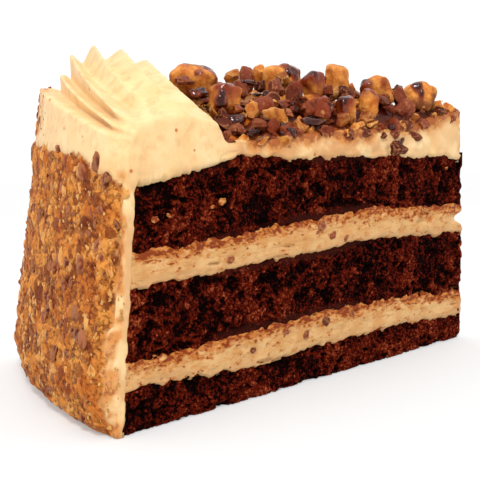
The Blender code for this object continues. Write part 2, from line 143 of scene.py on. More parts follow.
# Things seen in the photo, in millimetres, with turns in degrees from the near cut.
# Drops: radius, turn, height, width. The heap's pieces and pools: the same, and how tall they are.
FUDGE_DROPS = (
    (85.5, 15.7, 80.5, 3.8), (84.0, 10.5, 77.5, 2.4), (86.6, 6.2, 72.7, 3.6),
    (85.6, 6.6, 75.4, 2.4), (68.1, 18.7, 74.3, 2.4), (75.4, 7.4, 71.4, 2.6), (73.2, 1.0, 66.0, 4.4),
    (17.3, 9.9, 75.7, 4.4), (16.6, 9.0, 74.0, 2.6), (32.6, 21.6, 77.2, 2.4),
    (55.8, 19.9, 80.2, 2.2), (48.2, 11.3, 75.2, 2.2),
)
HEAP_PEANUT = (
    (69.7, 26.0, 79.2, 4.7, 3.6), (61.9, 27.0, 79.9, 3.3, 4.7), (30.2, 9.0, 69.6, 3.9, 5.0),
    (5.3, 12.0, 69.5, 4.1, 2.9), (65.5, 3.0, 66.4, 3.6, 4.6), (51.8, 1.5, 67.7, 3.7, 3.4),
    (40.6, 3.0, 66.7, 4.9, 3.5), (83.4, 5.0, 71.2, 2.7, 2.5), (35.4, 24.0, 75.5, 3.1, 3.1),
    (57.4, 21.0, 78.9, 4.9, 4.9), (44.0, 23.0, 75.4, 3.4, 3.4), (90.7, 5.0, 70.7, 2.2, 2.9),
    (64.2, 20.0, 73.1, 2.7, 2.4), (62.9, 1.5, 65.3, 2.3, 2.3),
)
HEAP_CHOCOLATE = (
    (90.0, 15.0, 78.2, 5.1, 2.3), (87.4, 4.5, 68.7, 2.7, 5.8), (64.0, 14.0, 76.0, 4.5, 4.8),
    (75.8, 2.0, 67.1, 4.5, 3.5), (72.6, 1.0, 64.7, 4.5, 2.5), (60.8, 5.0, 70.3, 3.1, 4.1),
    (57.4, 3.0, 69.7, 4.7, 4.2), (46.0, 20.0, 78.2, 4.2, 3.0), (47.0, 14.0, 74.9, 4.6, 3.3),
    (24.0, 12.0, 72.5, 3.4, 6.2), (24.8, 4.0, 66.7, 3.4, 5.3), (9.0, 10.0, 68.4, 6.4, 3.2),
    (18.5, 3.0, 65.1, 5.1, 2.8), (23.4, 0.8, 62.2, 5.6, 2.5), (31.7, 0.0, 59.0, 5.5, 4.1),
    (31.9, 1.0, 64.2, 3.9, 5.5), (36.8, 0.0, 63.1, 2.7, 2.2), (73.3, 7.0, 70.1, 3.5, 4.6),
    (39.6, 13.0, 73.9, 3.6, 2.5), (43.0, 11.0, 72.7, 2.2, 3.3), (5.9, 5.0, 66.3, 2.6, 2.9),
    (64.7, 19.0, 76.6, 3.2, 3.2), (86.5, 1.5, 66.8, 2.9, 2.4), (91.8, 0.8, 65.6, 1.9, 1.7),
    (49.4, 0.0, 62.9, 1.6, 1.6),
)
FUDGE_POOLS = (
    (88.4, 11.0, 75.0, 4.7, 3.0), (85.8, 3.0, 68.6, 4.1, 2.9), (69.9, 17.0, 77.5, 7.1, 1.6),
    (62.4, 2.0, 67.3, 7.7, 2.3), (53.2, 4.0, 70.3, 2.6, 2.9), (84.3, 0.5, 65.8, 3.4, 2.2),
    (28.9, 0.2, 60.8, 3.6, 1.9), (31.0, 6.0, 69.1, 1.9, 5.0), (23.0, 15.0, 75.0, 4.0, 2.3),
    (63.0, 7.0, 70.8, 2.3, 3.6), (71.8, 2.0, 66.2, 3.0, 2.3), (66.5, 13.0, 74.2, 3.7, 2.1),
)
# Pieces in the coat: turn, height, width. Bits in the near cut: radius, height, width.
COAT_PIECES = (
    (3.9, 60.1, 5.2), (6.5, 57.6, 4.6), (1.9, 57.1, 3.8), (1.9, 54.6, 3.4), (11.5, 59.9, 3.4),
    (14.0, 62.0, 3.8), (12.5, 44.9, 3.4), (11.5, 34.6, 3.8), (5.2, 37.7, 4.0), (1.9, 39.7, 3.0),
    (8.5, 48.2, 3.2), (5.4, 26.8, 4.4), (12.8, 22.7, 3.6), (2.8, 42.8, 3.4), (3.4, 22.0, 4.4),
)
NEAR_CUT_CANDY = (
    (26.5, 63.4, 3.6), (92.5, 35.7, 2.6), (61.0, 40.6, 3.4), (56.6, 37.6, 3.0), (51.5, 36.4, 2.4),
    (67.0, 12.6, 2.8), (59.4, 15.0, 3.2), (49.5, 15.4, 3.0), (85.8, 12.2, 2.2), (74.3, 14.6, 2.4),
)
NEAR_CUT_FLECKS = (
    (121.0, 52.5, 1.8), (114.6, 47.7, 2.4), (94.7, 49.9, 2.6), (97.5, 49.0, 1.6),
    (110.5, 48.3, 1.4), (7.8, 51.8, 1.4),
)

# Where the photo was taken from, and its angles in degrees
CAMERA_FROM_TIP = Vector((-181.90, -244.63, 77.25)) * MM
CAMERA_YAW = 24.1
CAMERA_PITCH = 8.87
CAMERA_ROLL = -1.05
CAMERA_LENS = 75.0
CAMERA_SENSOR = 36.0

# The stage: a sweep that is a bowl in metres, how much it glows in the middle and further out, and
# how much less in front, where candy and chocolate would mirror it. Lamps: place, size, watts.
SWEEP_RINGS = 24
SWEEP_SPOKES = 64
SWEEP_REACH = 2.0
SWEEP_RISE = 0.9
FLOOR_GLOW = 0.29
WALL_GLOW = 0.16
FRONT_DIMMED = 0.7
WORLD_LIGHT = 0.1
LAMPS = (
    ("key", (-0.24, -0.48, 0.57), 0.16, 3.2),
    ("fill", (0.55, -0.45, 0.35), 0.25, 0.3),
    ("top", (0.1, 0.15, 0.8), 0.35, 0.5),
)
LAMP_TARGET = Vector((0.0, 0.0, 0.04))


# Noise over points in space. A size is the distance between two bumps. Each use has its own seed,
# so that no two patterns repeat each other.

TWIST = np.array(Matrix.Rotation(0.7, 3, "X") @ Matrix.Rotation(0.9, 3, "Z"))


def cell_value(cell, seed):
    """Repeatable random share for each whole-numbered cell."""
    x, y, z = [cell[..., axis].astype(np.int64) for axis in range(3)]
    value = (x * 73856093) ^ (y * 19349663) ^ (z * 83492791) ^ (seed * 2654435761)
    value = (value ^ (value >> 13)) * 1274126177
    value = value ^ (value >> 16)
    return (value & 0xFFFFFF) / float(0xFFFFFF)


def soft_noise(points, size, seed, octaves=1):
    """Smooth noise from -1 to 1, with finer and weaker noise added for each further octave."""
    total = 0.0
    strength = 1.0
    spot = points @ TWIST / size
    for octave in range(octaves):
        cell = np.floor(spot)
        part = spot - cell
        part = part * part * (3.0 - 2.0 * part)
        value = 0.0
        for corner in np.ndindex(2, 2, 2):
            weight = np.prod(np.where(np.array(corner), part, 1.0 - part), axis=-1)
            value = value + weight * cell_value(cell + np.array(corner), seed + octave)
        total = total + strength * (2.0 * value - 1.0)
        strength *= 0.5
        spot = spot @ TWIST * 2.0
    return total


def scattered(points, size, seed):
    """Distances to the nearest and second nearest of scattered points, and the nearest's share."""
    spot = points / size
    home = np.floor(spot)
    first = np.full(len(points), 9.0)
    second = np.full(len(points), 9.0)
    own = np.zeros(len(points))
    for step in np.ndindex(3, 3, 3):
        near = home + np.array(step) - 1.0
        place = np.stack([cell_value(near, seed + axis) for axis in (1, 2, 3)], -1)
        gap = np.linalg.norm(spot - near - place, axis=-1)
        closer = gap < first
        second = np.where(closer, first, np.minimum(second, gap))
        own = np.where(closer, cell_value(near, seed + 4), own)
        first = np.where(closer, gap, first)
    return first, second, own


def grains(points, size, seed):
    """Rounded grains, 0 in the seams between them and up to 1 on top, and each grain's share."""
    first, second, own = scattered(points, size, seed)
    return np.clip(1.6 * (second - first), 0.0, 1.0) ** 0.6, own


def holes(points, size, seed, share):
    """Round holes in a share of the cells, 1 at their deepest."""
    first, _, own = scattered(points, size, seed)
    return np.clip(1.0 - first / 0.52, 0.0, 1.0) ** 0.65 * (own < share)


def ramp(low, high, value):
    """Share from 0 to 1 as a value goes from low to high, with a soft start and end."""
    share = np.clip((value - low) / (high - low), 0.0, 1.0)
    return share * share * (3.0 - 2.0 * share)


# The wedge's own coordinates


def at(radius, turn, height):
    """Points at a radius, a turn and a height."""
    blunt = TIP_HALF_WIDTH * (turn / HALF_ANGLE) * (1.0 - radius / BASE_RADIUS)
    return np.stack([TIP - radius * np.cos(turn), radius * np.sin(turn) + blunt, height], -1)


def cut_normal(turn):
    """Direction out of the cut face on the side of each turn."""
    across = np.where(turn < 0.0, -math.cos(HALF_ANGLE), math.cos(HALF_ANGLE))
    return np.stack([np.full_like(across, math.sin(HALF_ANGLE)), across, 0.0 * across], -1)


def turn_at(degrees):
    """Turn that is this many degrees from the near cut."""
    return math.radians(degrees) - HALF_ANGLE


def from_cut(turn, radius):
    """Distance to the nearer cut."""
    return (HALF_ANGLE - np.abs(turn)) * radius


def sponge_radius(height):
    """Radius of the cake's own rim, under the frosting."""
    return BASE_RADIUS + (TOP_RADIUS - BASE_RADIUS) * height / TOP_OF_CAKE


def side_radius(turn, height):
    """Radius of the frosted side with its dents, which the knife rounded away next to each cut."""
    radius = np.interp(height, SIDE_HEIGHTS, SIDE_RADII)
    dents = 0.3 * MM * soft_noise(at(radius, turn, height), 7.0 * MM, 42, 2)
    worn = np.clip(1.0 - from_cut(turn, radius) / CORNER_WIDTH, 0.0, 1.0)
    worn = CORNER_DEPTH * worn**2
    return np.maximum(radius + dents - worn, sponge_radius(height) + CORNER_CREAM)


def corner_wear(to_cut, knife_round):
    """How far the knife pushed the outer edge of the cut in, at a distance from the cut."""
    return knife_round * np.clip(1.0 - to_cut / (3.0 * knife_round), 0.0, 1.0) ** 2


def node_tree(node):
    """Search tree over a node's solid."""
    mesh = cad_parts[node].data
    corners = [vert.co for vert in mesh.vertices]
    return BVHTree.FromPolygons(corners, [face.vertices for face in mesh.polygons])


def face_height(node, from_above, reach):
    """Height of a node's upper or lower face at any radius and turn, read from its solid."""
    tree = node_tree(node)
    radii = np.linspace(2.0 * MM, reach, 64)
    turns = np.linspace(-0.94, 0.94, 9) * HALF_ANGLE
    start = 0.2 if from_above else -0.1
    way = Vector((0.0, 0.0, -1.0 if from_above else 1.0))
    heights = np.zeros((len(radii), len(turns)))
    for row, radius in enumerate(radii):
        for column, turn in enumerate(turns):
            x, y, _ = at(radius, turn, 0.0)
            heights[row, column] = tree.ray_cast(Vector((x, y, start)), way)[0].z

    def height(radius, turn):
        """Height between the rays' hits."""
        row = np.clip((radius - radii[0]) / (radii[1] - radii[0]), 0.0, len(radii) - 1.001)
        column = np.clip((turn - turns[0]) / (turns[1] - turns[0]), 0.0, len(turns) - 1.001)
        i, j = np.floor(row).astype(int), np.floor(column).astype(int)
        u, v = row - i, column - j
        low = heights[i, j] * (1.0 - v) + heights[i, j + 1] * v
        high = heights[i + 1, j] * (1.0 - v) + heights[i + 1, j + 1] * v
        return low * (1.0 - u) + high * u

    return height


def table_height(radius, turn):
    """The table on which the slice stands."""
    return 0.0 * radius


def top_sponge_height(radius, turn):
    """Top of the upper sponge, which domes a little more next to the border than its solid."""
    dome = SHOULDER_RISE * np.exp(-(((radius - SHOULDER_RADIUS) / SHOULDER_WIDTH) ** 2))
    return SOLID_TOP(radius, turn) + dome + RIM_RISE * ramp(58.0 * MM, 74.0 * MM, radius)


SOLID_TOP = face_height("cake_layer_top", True, 119.0 * MM)
LEVELS = {
    "base": table_height,
    "bottom_top": face_height("cake_layer_bottom", True, 124.0 * MM),
    "middle_base": face_height("cake_layer_middle", False, 122.5 * MM),
    "middle_top": face_height("cake_layer_middle", True, 121.5 * MM),
    "top_base": face_height("cake_layer_top", False, 120.5 * MM),
    "top_top": top_sponge_height,
    "frosting": face_height("frosting_top", True, 119.0 * MM),
}


def heap_height(radius, turn):
    """Height of the candy heap without its loose pieces."""
    side = 1.0 - np.abs(turn / HALF_ANGLE) ** 3
    thickness = HEAP_EDGE + HEAP_CROWN * side * ramp(0.0, HEAP_THIN_LENGTH, radius)
    return LEVELS["frosting"](radius, turn) + thickness


def torn_line(points):
    """How far the torn edge between sponge and cream strays from its true line."""
    coarse = 0.7 * MM * soft_noise(points, 2.8 * MM, 15, 2)
    return coarse + 0.35 * MM * soft_noise(points, 0.9 * MM, 16, 2)


def tip_notches(points, turn, radius, size, depth):
    """How far bits are missing from the sharp edge at the tip."""
    line = np.stack([0.0 * turn, 0.002 * turn, points[:, 2]], -1)
    missing = np.minimum(depth * soft_noise(line, size, 18, 2), 0.0)
    missing -= TIP_GAP_DEPTH * ramp(TIP_GAP_HALF, 0.2 * MM, np.abs(points[:, 2] - TIP_GAP_HEIGHT))
    return missing * np.exp(-radius / (3.0 * MM))


# Meshes


def lattice(along, across, through, open_below=False):
    """Whole-numbered places of the corners on the outside of a box lattice, and its faces."""
    limit = np.array((along, across, through))
    places = np.indices(limit + 1).reshape(3, -1).T
    on_side = ((places == 0) | (places == limit))[:, :2].any(axis=1)
    outside = on_side | (places[:, 2] == through) | ((places[:, 2] == 0) & (not open_below))
    number = np.full(len(places), -1)
    number[outside] = np.arange(outside.sum())
    number = number.reshape(limit + 1)
    faces = []
    for axis in range(3):
        for end in (0, limit[axis]):
            if axis == 2 and end == 0 and open_below:
                continue
            sheet = np.take(number, end, axis=axis)
            ring = [sheet[:-1, :-1], sheet[1:, :-1], sheet[1:, 1:], sheet[:-1, 1:]]
            if (axis == 1) == (end == 0):
                ring.reverse()
            faces.append(np.stack(ring, -1).reshape(-1, 4))
    return places[outside], np.concatenate(faces)


def sheet_faces(rows, columns):
    """Faces of a sheet with this many rows and columns of corners."""
    number = np.arange(rows * columns).reshape(rows, columns)
    ring = [number[:-1, :-1], number[1:, :-1], number[1:, 1:], number[:-1, 1:]]
    return np.stack(ring, -1).reshape(-1, 4)


def new_piece(context, name, kind, points, faces, facts, nodes=(), sharp=None):
    """Makes a piece that rides on the slice, and hides the nodes that it stands for."""
    mesh = bpy.data.meshes.new(name)
    mesh.from_pydata(np.asarray(points).tolist(), [], np.asarray(faces).tolist())
    for key, values in facts.items():
        layer = mesh.attributes.new(key, "FLOAT", "POINT")
        layer.data.foreach_set("value", np.asarray(values, dtype=np.float32))
    mesh.materials.append(material(context, kind))
    mesh.shade_smooth()
    if sharp:
        mesh.set_sharp_from_angle(angle=math.radians(sharp))
    made = bpy.data.objects.new(name, mesh)
    context.scene.collection.objects.link(made)
    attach(made, "root")
    if nodes:
        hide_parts(*nodes)


def mesh_normals(points, faces):
    """Unit normal at each corner of a mesh."""
    a, b, c = points[faces[:, 0]], points[faces[:, 1]], points[faces[:, 2]]
    flat = np.cross(b - a, c - a)
    total = np.zeros_like(points)
    for column in range(faces.shape[1]):
        np.add.at(total, faces[:, column], flat)
    return total / np.maximum(np.linalg.norm(total, axis=1, keepdims=True), 1e-12)


def neighbour_mean(points, faces):
    """Middle of each corner's neighbours, and the mean distance to them."""
    total = np.zeros_like(points)
    count = np.zeros(len(points))
    length = np.zeros(len(points))
    for column in range(faces.shape[1]):
        here = faces[:, column]
        for other in (faces[:, column - 1], faces[:, (column + 1) % faces.shape[1]]):
            np.add.at(total, here, points[other])
            np.add.at(count, here, 1.0)
            np.add.at(length, here, np.linalg.norm(points[here] - points[other], axis=1))
    return total / count[:, None], length / count


def wear(points, faces):
    """How far each corner stands out of its neighbours, about 0 on flats and 1 on sharp edges."""
    middle, length = neighbour_mean(points, faces)
    stand = np.sum((points - middle) * mesh_normals(points, faces), axis=1)
    return np.clip(3.0 * stand / length, 0.0, 1.0)


def chip(seed, detail, cuts, rough, deepest):
    """A ball cut flat by a few planes, as chopped candy breaks, one unit across."""
    ball = bmesh.new()
    bmesh.ops.create_icosphere(ball, subdivisions=detail, radius=0.5)
    points = np.array([vert.co for vert in ball.verts])
    faces = np.array([[vert.index for vert in face.verts] for face in ball.faces])
    ball.free()
    draw = np.random.default_rng(seed)
    for _ in range(cuts):
        way = draw.normal(size=3)
        way /= np.linalg.norm(way)
        depth = draw.uniform(deepest, 0.40)
        points -= np.maximum(points @ way - depth, 0.0)[:, None] * way
    points += rough * soft_noise(points, 0.35, seed, 3)[:, None] * points
    points /= np.ptp(points, axis=0)
    return points, faces


def drizzle(points, share):
    """How deep points lie in the threads of fudge poured over the heap, below 0 outside them."""
    plan = points * np.array((1.0, 1.0, 0.0))
    return share - np.abs(soft_noise(plan, 15.0 * MM, 96) + 0.15 * soft_noise(plan, 4.0 * MM, 97))


def turned(*steps):
    """Rotation made of steps, each as (axis, angle)."""
    lean = Matrix.Identity(3)
    for axis, angle in steps:
        lean = lean @ Matrix.Rotation(angle, 3, axis)
    return np.array(lean)


def strew(context, name, kind, laid, draw, chips, sharp=None):
    """Makes one piece of chips laid as (spot, size, lean), each with its tone and its wear.

    The chips are given as (how many shapes, first seed, detail, cuts, roughness, deepest cut).
    """
    count, seed, *cut = chips
    shapes = [chip(seed + index, *cut) for index in range(count)]
    marks = [wear(*shape) for shape in shapes]
    points, faces, tones, worn = [], [], [], []
    start = 0
    for spot, size, lean in laid:
        pick = int(draw.integers(count))
        corners, rings = shapes[pick]
        points.append((corners * size) @ lean.T + spot)
        faces.append(rings + start)
        tones.append(np.full(len(corners), draw.random()))
        worn.append(marks[pick])
        start += len(corners)
    points = np.concatenate(points)
    facts = {"tone": np.concatenate(tones), "worn": np.concatenate(worn)}
    on_top = points[:, 2] > BORDER_FOOT
    facts["fudge"] = np.where(on_top, drizzle(points, THREAD_ON_BITS), -1.0)
    if kind == "cream":
        facts = {"above": np.full(len(points), MM), "below": np.full(len(points), 9.0 * MM)}
    new_piece(context, name, kind, points, np.concatenate(faces), facts, (), sharp)


# Materials. Colours are sRGB hex values made linear, and pattern sizes are real lengths.

SOFT = {"interpolation_type": "SMOOTHSTEP"}
BLEND = {"data_type": "RGBA"}
PLUS = {"operation": "ADD"}
TIMES = {"operation": "MULTIPLY"}
LARGER = {"operation": "MAXIMUM"}


def linear(text):
    """Linear colour of an sRGB hex value."""
    shares = [int(text[start : start + 2], 16) / 255.0 for start in (1, 3, 5)]
    return (*[c / 12.92 if c <= 0.04045 else ((c + 0.055) / 1.055) ** 2.4 for c in shares], 1.0)


def add(tree, kind, settings, inputs, out=0):
    """Adds a shader node, sets it, links or sets its inputs, and gives back one of its outputs."""
    made = tree.nodes.new("ShaderNode" + kind)
    for key, value in settings.items():
        setattr(made, key, value)
    for key, value in inputs.items():
        if isinstance(value, bpy.types.NodeSocket):
            tree.links.new(value, made.inputs[key])
        else:
            made.inputs[key].default_value = value
    return made.outputs[out] if made.outputs else None


def new_material(name, facts, patterns):
    """An empty material, its tree, and outputs for the place, the mesh's facts and the patterns.

    A pattern is noise, as (millimetres between two bumps, detail, roughness), and where the knife
    drew it out, also its scale along each axis.
    """
    made = bpy.data.materials.new(name)
    made.use_nodes = True
    tree = made.node_tree
    tree.nodes.clear()
    place = add(tree, "TexCoord", {}, {}, 3)
    outputs = [place]
    for fact in facts:
        outputs.append(add(tree, "Attribute", {"attribute_name": fact}, {}, 2))
    for size, detail, rough, *drawn in patterns:
        spot = add(tree, "Mapping", {}, {"Vector": place, "Scale": drawn[0]}) if drawn else place
        noise = {"Vector": spot, "Scale": 1.0 / (size * MM), "Detail": detail, "Roughness": rough}
        outputs.append(add(tree, "TexNoise", {}, noise))
    return made, tree, outputs


def paint(tree, body, layers):
    """Lays colours over a body.

    A layer is (colour, share), or else (colour, what drives its share, the driver's values where
    the share starts and where it is full, the full share).
    """
    for colour, share, *limits in layers:
        if limits:
            start, full, most = limits
            share = add(tree, "MapRange", SOFT, {0: share, 1: start, 2: full, 4: most})
        body = add(tree, "Mix", BLEND, {0: share, 6: body, 7: colour}, 2)
    return body


def glow_inside(weight, reds_to_blues, reach):
    """Inputs for light that goes in and comes out again a little way off."""
    shares = {"Subsurface Weight": weight, "Subsurface Radius": reds_to_blues}
    return {**shares, "Subsurface Scale": reach}


def finish(tree, relief, depth, body, rough, ior, gloss, more=None):
    """Ends a material with its shader, and with bumps of a real depth."""
    bumps = add(tree, "Bump", {}, {"Height": relief, "Strength": 1.0, "Distance": depth})
    inputs = {"Normal": bumps, "Base Color": body, "Roughness": rough, "IOR": ior}
    inputs["Specular IOR Level"] = gloss
    shader = add(tree, "BsdfPrincipled", {}, {**inputs, **(more or {})})
    add(tree, "OutputMaterial", {}, {"Surface": shader})


def sponge_material(colours):
    """Moist baked sponge, torn by the knife: dark crumb, reddish raised grains with a painted
    highlight, black pores that are painted shade as well as moisture.
    """
    patterns = ((0.5, 4.0, 0.7), (1.2, 4.0, 0.7), (5.0, 3.0, 0.5))
    made, tree, outputs = new_material("chocolate_sponge_open_crumb", ("relief_shading", "crust"), patterns)
    _, level, crust, fine, crumb, patch = outputs
    for noise, low, high, reach in (
        (fine, 0.3, 0.7, 0.45),
        (crumb, 0.3, 0.7, 0.45),
        (patch, 0.35, 0.65, 0.12),
    ):
        jitter = add(tree, "MapRange", {}, {0: noise, 1: low, 2: high, 3: -reach, 4: reach})
        level = add(tree, "Math", PLUS, {0: level, 1: jitter})
    # Colour by relief: raised grains get a painted highlight, low pores get painted shade
    layers = (
        (colours.sponge_grain_and_highlight, level, 0.58, 1.25, 1.0),
        (colours.sponge_pore_shade, level, 0.52, 0.12, 1.0),
        (colours.sponge_crust, crust),
    )
    body = paint(tree, colours.sponge_body, layers)
    rough = add(tree, "MapRange", {}, {0: fine, 1: 0.3, 2: 0.7, 3: 0.75, 4: 0.5})
    relief = add(tree, "Math", PLUS, {0: fine, 1: crumb})
    finish(tree, relief, 0.6 * MM, body, rough, 1.45, 0.03)
    return made


def cream_material(colours):
    """Whipped peanut butter cream, spread and cut: soft, a little see-through, with crumb on it."""
    flat = (0.55, 0.55, 1.0)
    drawn = (1.7, 3.0, 0.6, (0.2, 0.2, 1.0))
    patterns = ((4.0, 2.0, 0.5), drawn, (1.6, 5.0, 0.68, flat), (0.75, 3.0, 0.6, flat))
    made, tree, outputs = new_material("peanut_cream_spread_and_cut", ("above", "below"), patterns)
    _, above, below, patch, streak, blot, dots = outputs
    reach = add(tree, "MapRange", SOFT, {0: above, 1: 4.6 * MM, 2: 0.1 * MM, 4: 0.23})
    stained = add(tree, "Math", PLUS, {0: blot, 1: reach})
    smeared = add(tree, "Math", PLUS, {0: stained, 1: dots})
    layers = (
        (colours.cream_body, patch, 0.3, 0.7, 1.0),
        (colours.cream_shade, streak, 0.46, 0.72, 0.6),
        (colours.cream_soaked, below, 2.6 * MM, 0.2 * MM, 0.6),
        (colours.crumb_stain, stained, 0.52, 0.7, 0.85),
        (colours.crumb_smear, smeared, 1.16, 1.28, 0.92),
    )
    body = paint(tree, colours.cream_light, layers)
    rough = add(tree, "MapRange", {}, {0: streak, 1: 0.3, 2: 0.7, 3: 0.42, 4: 0.6})
    relief = add(tree, "Math", PLUS, {0: streak, 1: dots})
    inside = glow_inside(0.2, (1.0, 0.55, 0.3), 1.2 * MM)
    finish(tree, relief, 0.3 * MM, body, rough, 1.46, 0.15, inside)
    return made


def frosting_material(colours):
    """Smooth buttery frosting from a star tube and a knife, with peanut specks, a soft sheen, and
    painted shade in its grooves and on its side.
    """
    facts = ("stain", "smear", "shaded")
    drawn = (2.0, 3.0, 0.6, (1.0, 1.0, 0.4))
    patterns = ((9.0, 3.0, 0.5), (3.4, 3.0, 0.6), (1.8, 4.0, 0.65), drawn, (0.8, 3.0, 0.6))
    made, tree, outputs = new_material("peanut_frosting_piped_and_spread", facts, patterns)
    place, stain, smear, shaded, patch, blush, blot, drag, fine = outputs
    # Warm patches of tint, and painted shade where the mesh marks grooves and the side
    warm = add(tree, "MapRange", SOFT, {0: blush, 1: 0.46, 2: 0.68, 4: 0.38})
    warm = add(tree, "Math", LARGER, {0: warm, 1: shaded})
    cell = {"Vector": place, "Scale": 1.0 / (6.0 * MM)}
    own = add(tree, "SeparateColor", {}, {0: add(tree, "TexVoronoi", {}, cell, 1)})
    rare = add(tree, "MapRange", SOFT, {0: own, 1: 0.5, 2: 0.55})
    speck = add(tree, "MapRange", SOFT, {0: add(tree, "TexVoronoi", {}, cell), 1: 0.1, 2: 0.06})
    speck = add(tree, "Math", TIMES, {0: speck, 1: rare})
    sticky = add(tree, "Math", TIMES, {0: blush, 1: stain})
    soaked = add(tree, "Math", TIMES, {0: blot, 1: stain})
    dragged = add(tree, "Math", TIMES, {0: drag, 1: smear})
    layers = (
        (colours.frosting_body, patch, 0.3, 0.7, 1.0),
        (colours.frosting_warm_and_shade, warm),
        (colours.peanut_speck, speck),
        (colours.candy_stain, sticky, 0.1, 0.38, 0.85),
        (colours.fudge_stain, soaked, 0.28, 0.48, 0.85),
        (colours.candy_stain, dragged, 0.34, 0.5, 0.85),
        (colours.coat_brown, dragged, 0.52, 0.66, 0.6),
    )
    body = paint(tree, colours.frosting_light, layers)
    rough = add(tree, "MapRange", {}, {0: fine, 1: 0.3, 2: 0.7, 3: 0.4, 4: 0.56})
    inside = glow_inside(0.2, (1.0, 0.55, 0.3), 1.6 * MM)
    finish(tree, fine, 0.1 * MM, body, rough, 1.46, 0.35, inside)
    return made


def coat_material(colours):
    """Crushed candy in frosting: golden, brown and pale grains of one to three millimetres, with
    painted shade in the seams between them.
    """
    patterns = ((7.0, 3.0, 0.5), (1.1, 4.0, 0.7), (7.5, 5.0, 0.68))
    made, tree, outputs = new_material("crushed_candy_coat", ("tone", "pit_shade", "bare"), patterns)
    _, tone, pit_shade, bare, patch, fine, cloud = outputs
    # Low seams between the grains are darkened as painted shade
    layers = (
        (colours.coat_body, patch, 0.35, 0.65, 1.0),
        (colours.coat_brown, tone, 0.55, 0.8, 0.75),
        (colours.coat_pale, tone, 0.14, 0.04, 0.7),
        (colours.coat_brown, cloud, 0.5, 0.62, 0.85),
        (colours.coat_brown, fine, 0.5, 0.72, 0.85),
        (colours.coat_pale, fine, 0.42, 0.28, 0.6),
        (colours.coat_seam_shade, pit_shade, 0.45, 1.0, 0.8),
        (colours.frosting_warm_and_shade, bare),
    )
    body = paint(tree, colours.coat_gold, layers)
    rough = add(tree, "MapRange", {}, {0: tone, 3: 0.7, 4: 0.42})
    finish(tree, fine, 0.45 * MM, body, rough, 1.47, 0.12)
    return made


def fudge_run(tree, colours, body, rough):
    """Colour and roughness of candy with fudge run over it: a reddish rim, black and wet inside."""
    fudge = add(tree, "Attribute", {"attribute_name": "fudge"}, {}, 2)
    thick = add(tree, "MapRange", SOFT, {0: fudge, 1: -0.02, 2: 0.16})
    layers = ((colours.fudge_thin, fudge, -0.16, 0.0, 0.9), (colours.fudge_body, thick))
    return paint(tree, body, layers), add(tree, "Mix", {}, {0: thick, 2: rough, 3: 0.08})


def peanut_candy_material(colours):
    """Chopped peanut butter candy: waxy, lit from within, caramel in patches and as painted shade
    low down, pale broken edges.
    """
    patterns = ((2.4, 4.0, 0.6), (0.6, 4.0, 0.65))
    made, tree, outputs = new_material("peanut_candy_chopped", ("tone", "worn", "deep"), patterns)
    _, tone, worn, deep, patch, fine = outputs
    # Caramel from random tone and patches, and painted shade towards the bottom of each chunk
    dusk = add(tree, "MapRange", {}, {0: tone, 3: -0.3, 4: 0.5})
    dusk = add(tree, "Math", PLUS, {0: dusk, 1: deep})
    dusk = add(tree, "Math", PLUS, {0: dusk, 1: patch})
    edge = add(tree, "Math", TIMES, {0: worn, 1: fine})
    layers = (
        (colours.peanut_deep, patch, 0.32, 0.68, 1.0),
        (colours.peanut_caramel_shade, dusk, 0.45, 1.25, 0.9),
        (colours.peanut_pale, edge, 0.1, 0.45, 0.7),
    )
    body = paint(tree, colours.peanut_body, layers)
    rough = add(tree, "MapRange", {}, {0: fine, 1: 0.3, 2: 0.7, 3: 0.4, 4: 0.6})
    body, rough = fudge_run(tree, colours, body, rough)
    inside = glow_inside(0.3, (1.0, 0.4, 0.12), 1.4 * MM)
    finish(tree, fine, 0.3 * MM, body, rough, 1.47, 0.25, inside)
    return made


def milk_chocolate_material(colours):
    """Chopped milk chocolate: satin where it was cut, dry, pinkish and flaky where it broke."""
    patterns = ((2.6, 3.0, 0.5), (0.55, 4.0, 0.7))
    made, tree, outputs = new_material("milk_chocolate_chopped", ("tone", "worn"), patterns)
    _, tone, worn, patch, fine = outputs
    dusk = add(tree, "Math", PLUS, {0: patch, 1: tone})
    edge = add(tree, "Math", TIMES, {0: worn, 1: fine})
    layers = (
        (colours.chocolate_deep, dusk, 0.6, 1.4, 1.0),
        (colours.chocolate_pale, edge, 0.08, 0.4, 0.6),
        (colours.chocolate_pale, fine, 0.58, 0.7, 0.5),
    )
    body = paint(tree, colours.chocolate_body, layers)
    rough = add(tree, "MapRange", {}, {0: fine, 1: 0.35, 2: 0.65, 3: 0.34, 4: 0.6})
    body, rough = fudge_run(tree, colours, body, rough)
    finish(tree, fine, 0.35 * MM, body, rough, 1.46, 0.16)
    return made


def fudge_material(colours):
    """Poured fudge: almost black where thick, reddish where thin, with a wet shine."""
    made, tree, outputs = new_material("fudge_poured", ("edge",), ((2.0, 3.0, 0.5),))
    _, edge, ripple = outputs
    thin = add(tree, "MapRange", SOFT, {0: ripple, 1: 0.5, 2: 0.72})
    thin = add(tree, "Math", LARGER, {0: thin, 1: edge})
    body = paint(tree, colours.fudge_body, ((colours.fudge_thin, thin),))
    rough = add(tree, "MapRange", {}, {0: ripple, 1: 0.3, 2: 0.7, 3: 0.06, 4: 0.14})
    finish(tree, ripple, 0.2 * MM, body, rough, 1.48, 0.5)
    return made


def bed_material(colours):
    """The bottom of the candy heap: crushed candy with fudge run in between, wet and dark."""
    patterns = ((0.9, 4.0, 0.65),)
    made, tree, outputs = new_material("crushed_candy_in_fudge", ("wet", "tone"), patterns)
    _, wet, tone, fine = outputs
    layers = (
        (colours.chocolate_body, tone, 0.45, 0.55, 1.0),
        (colours.coat_brown, fine, 0.42, 0.65, 0.7),
        (colours.fudge_body, wet),
    )
    body = paint(tree, colours.peanut_deep, layers)
    rough = add(tree, "MapRange", {}, {0: wet, 1: 0.2, 2: 0.8, 3: 0.5, 4: 0.12})
    finish(tree, fine, 0.2 * MM, body, rough, 1.47, 0.2)
    return made


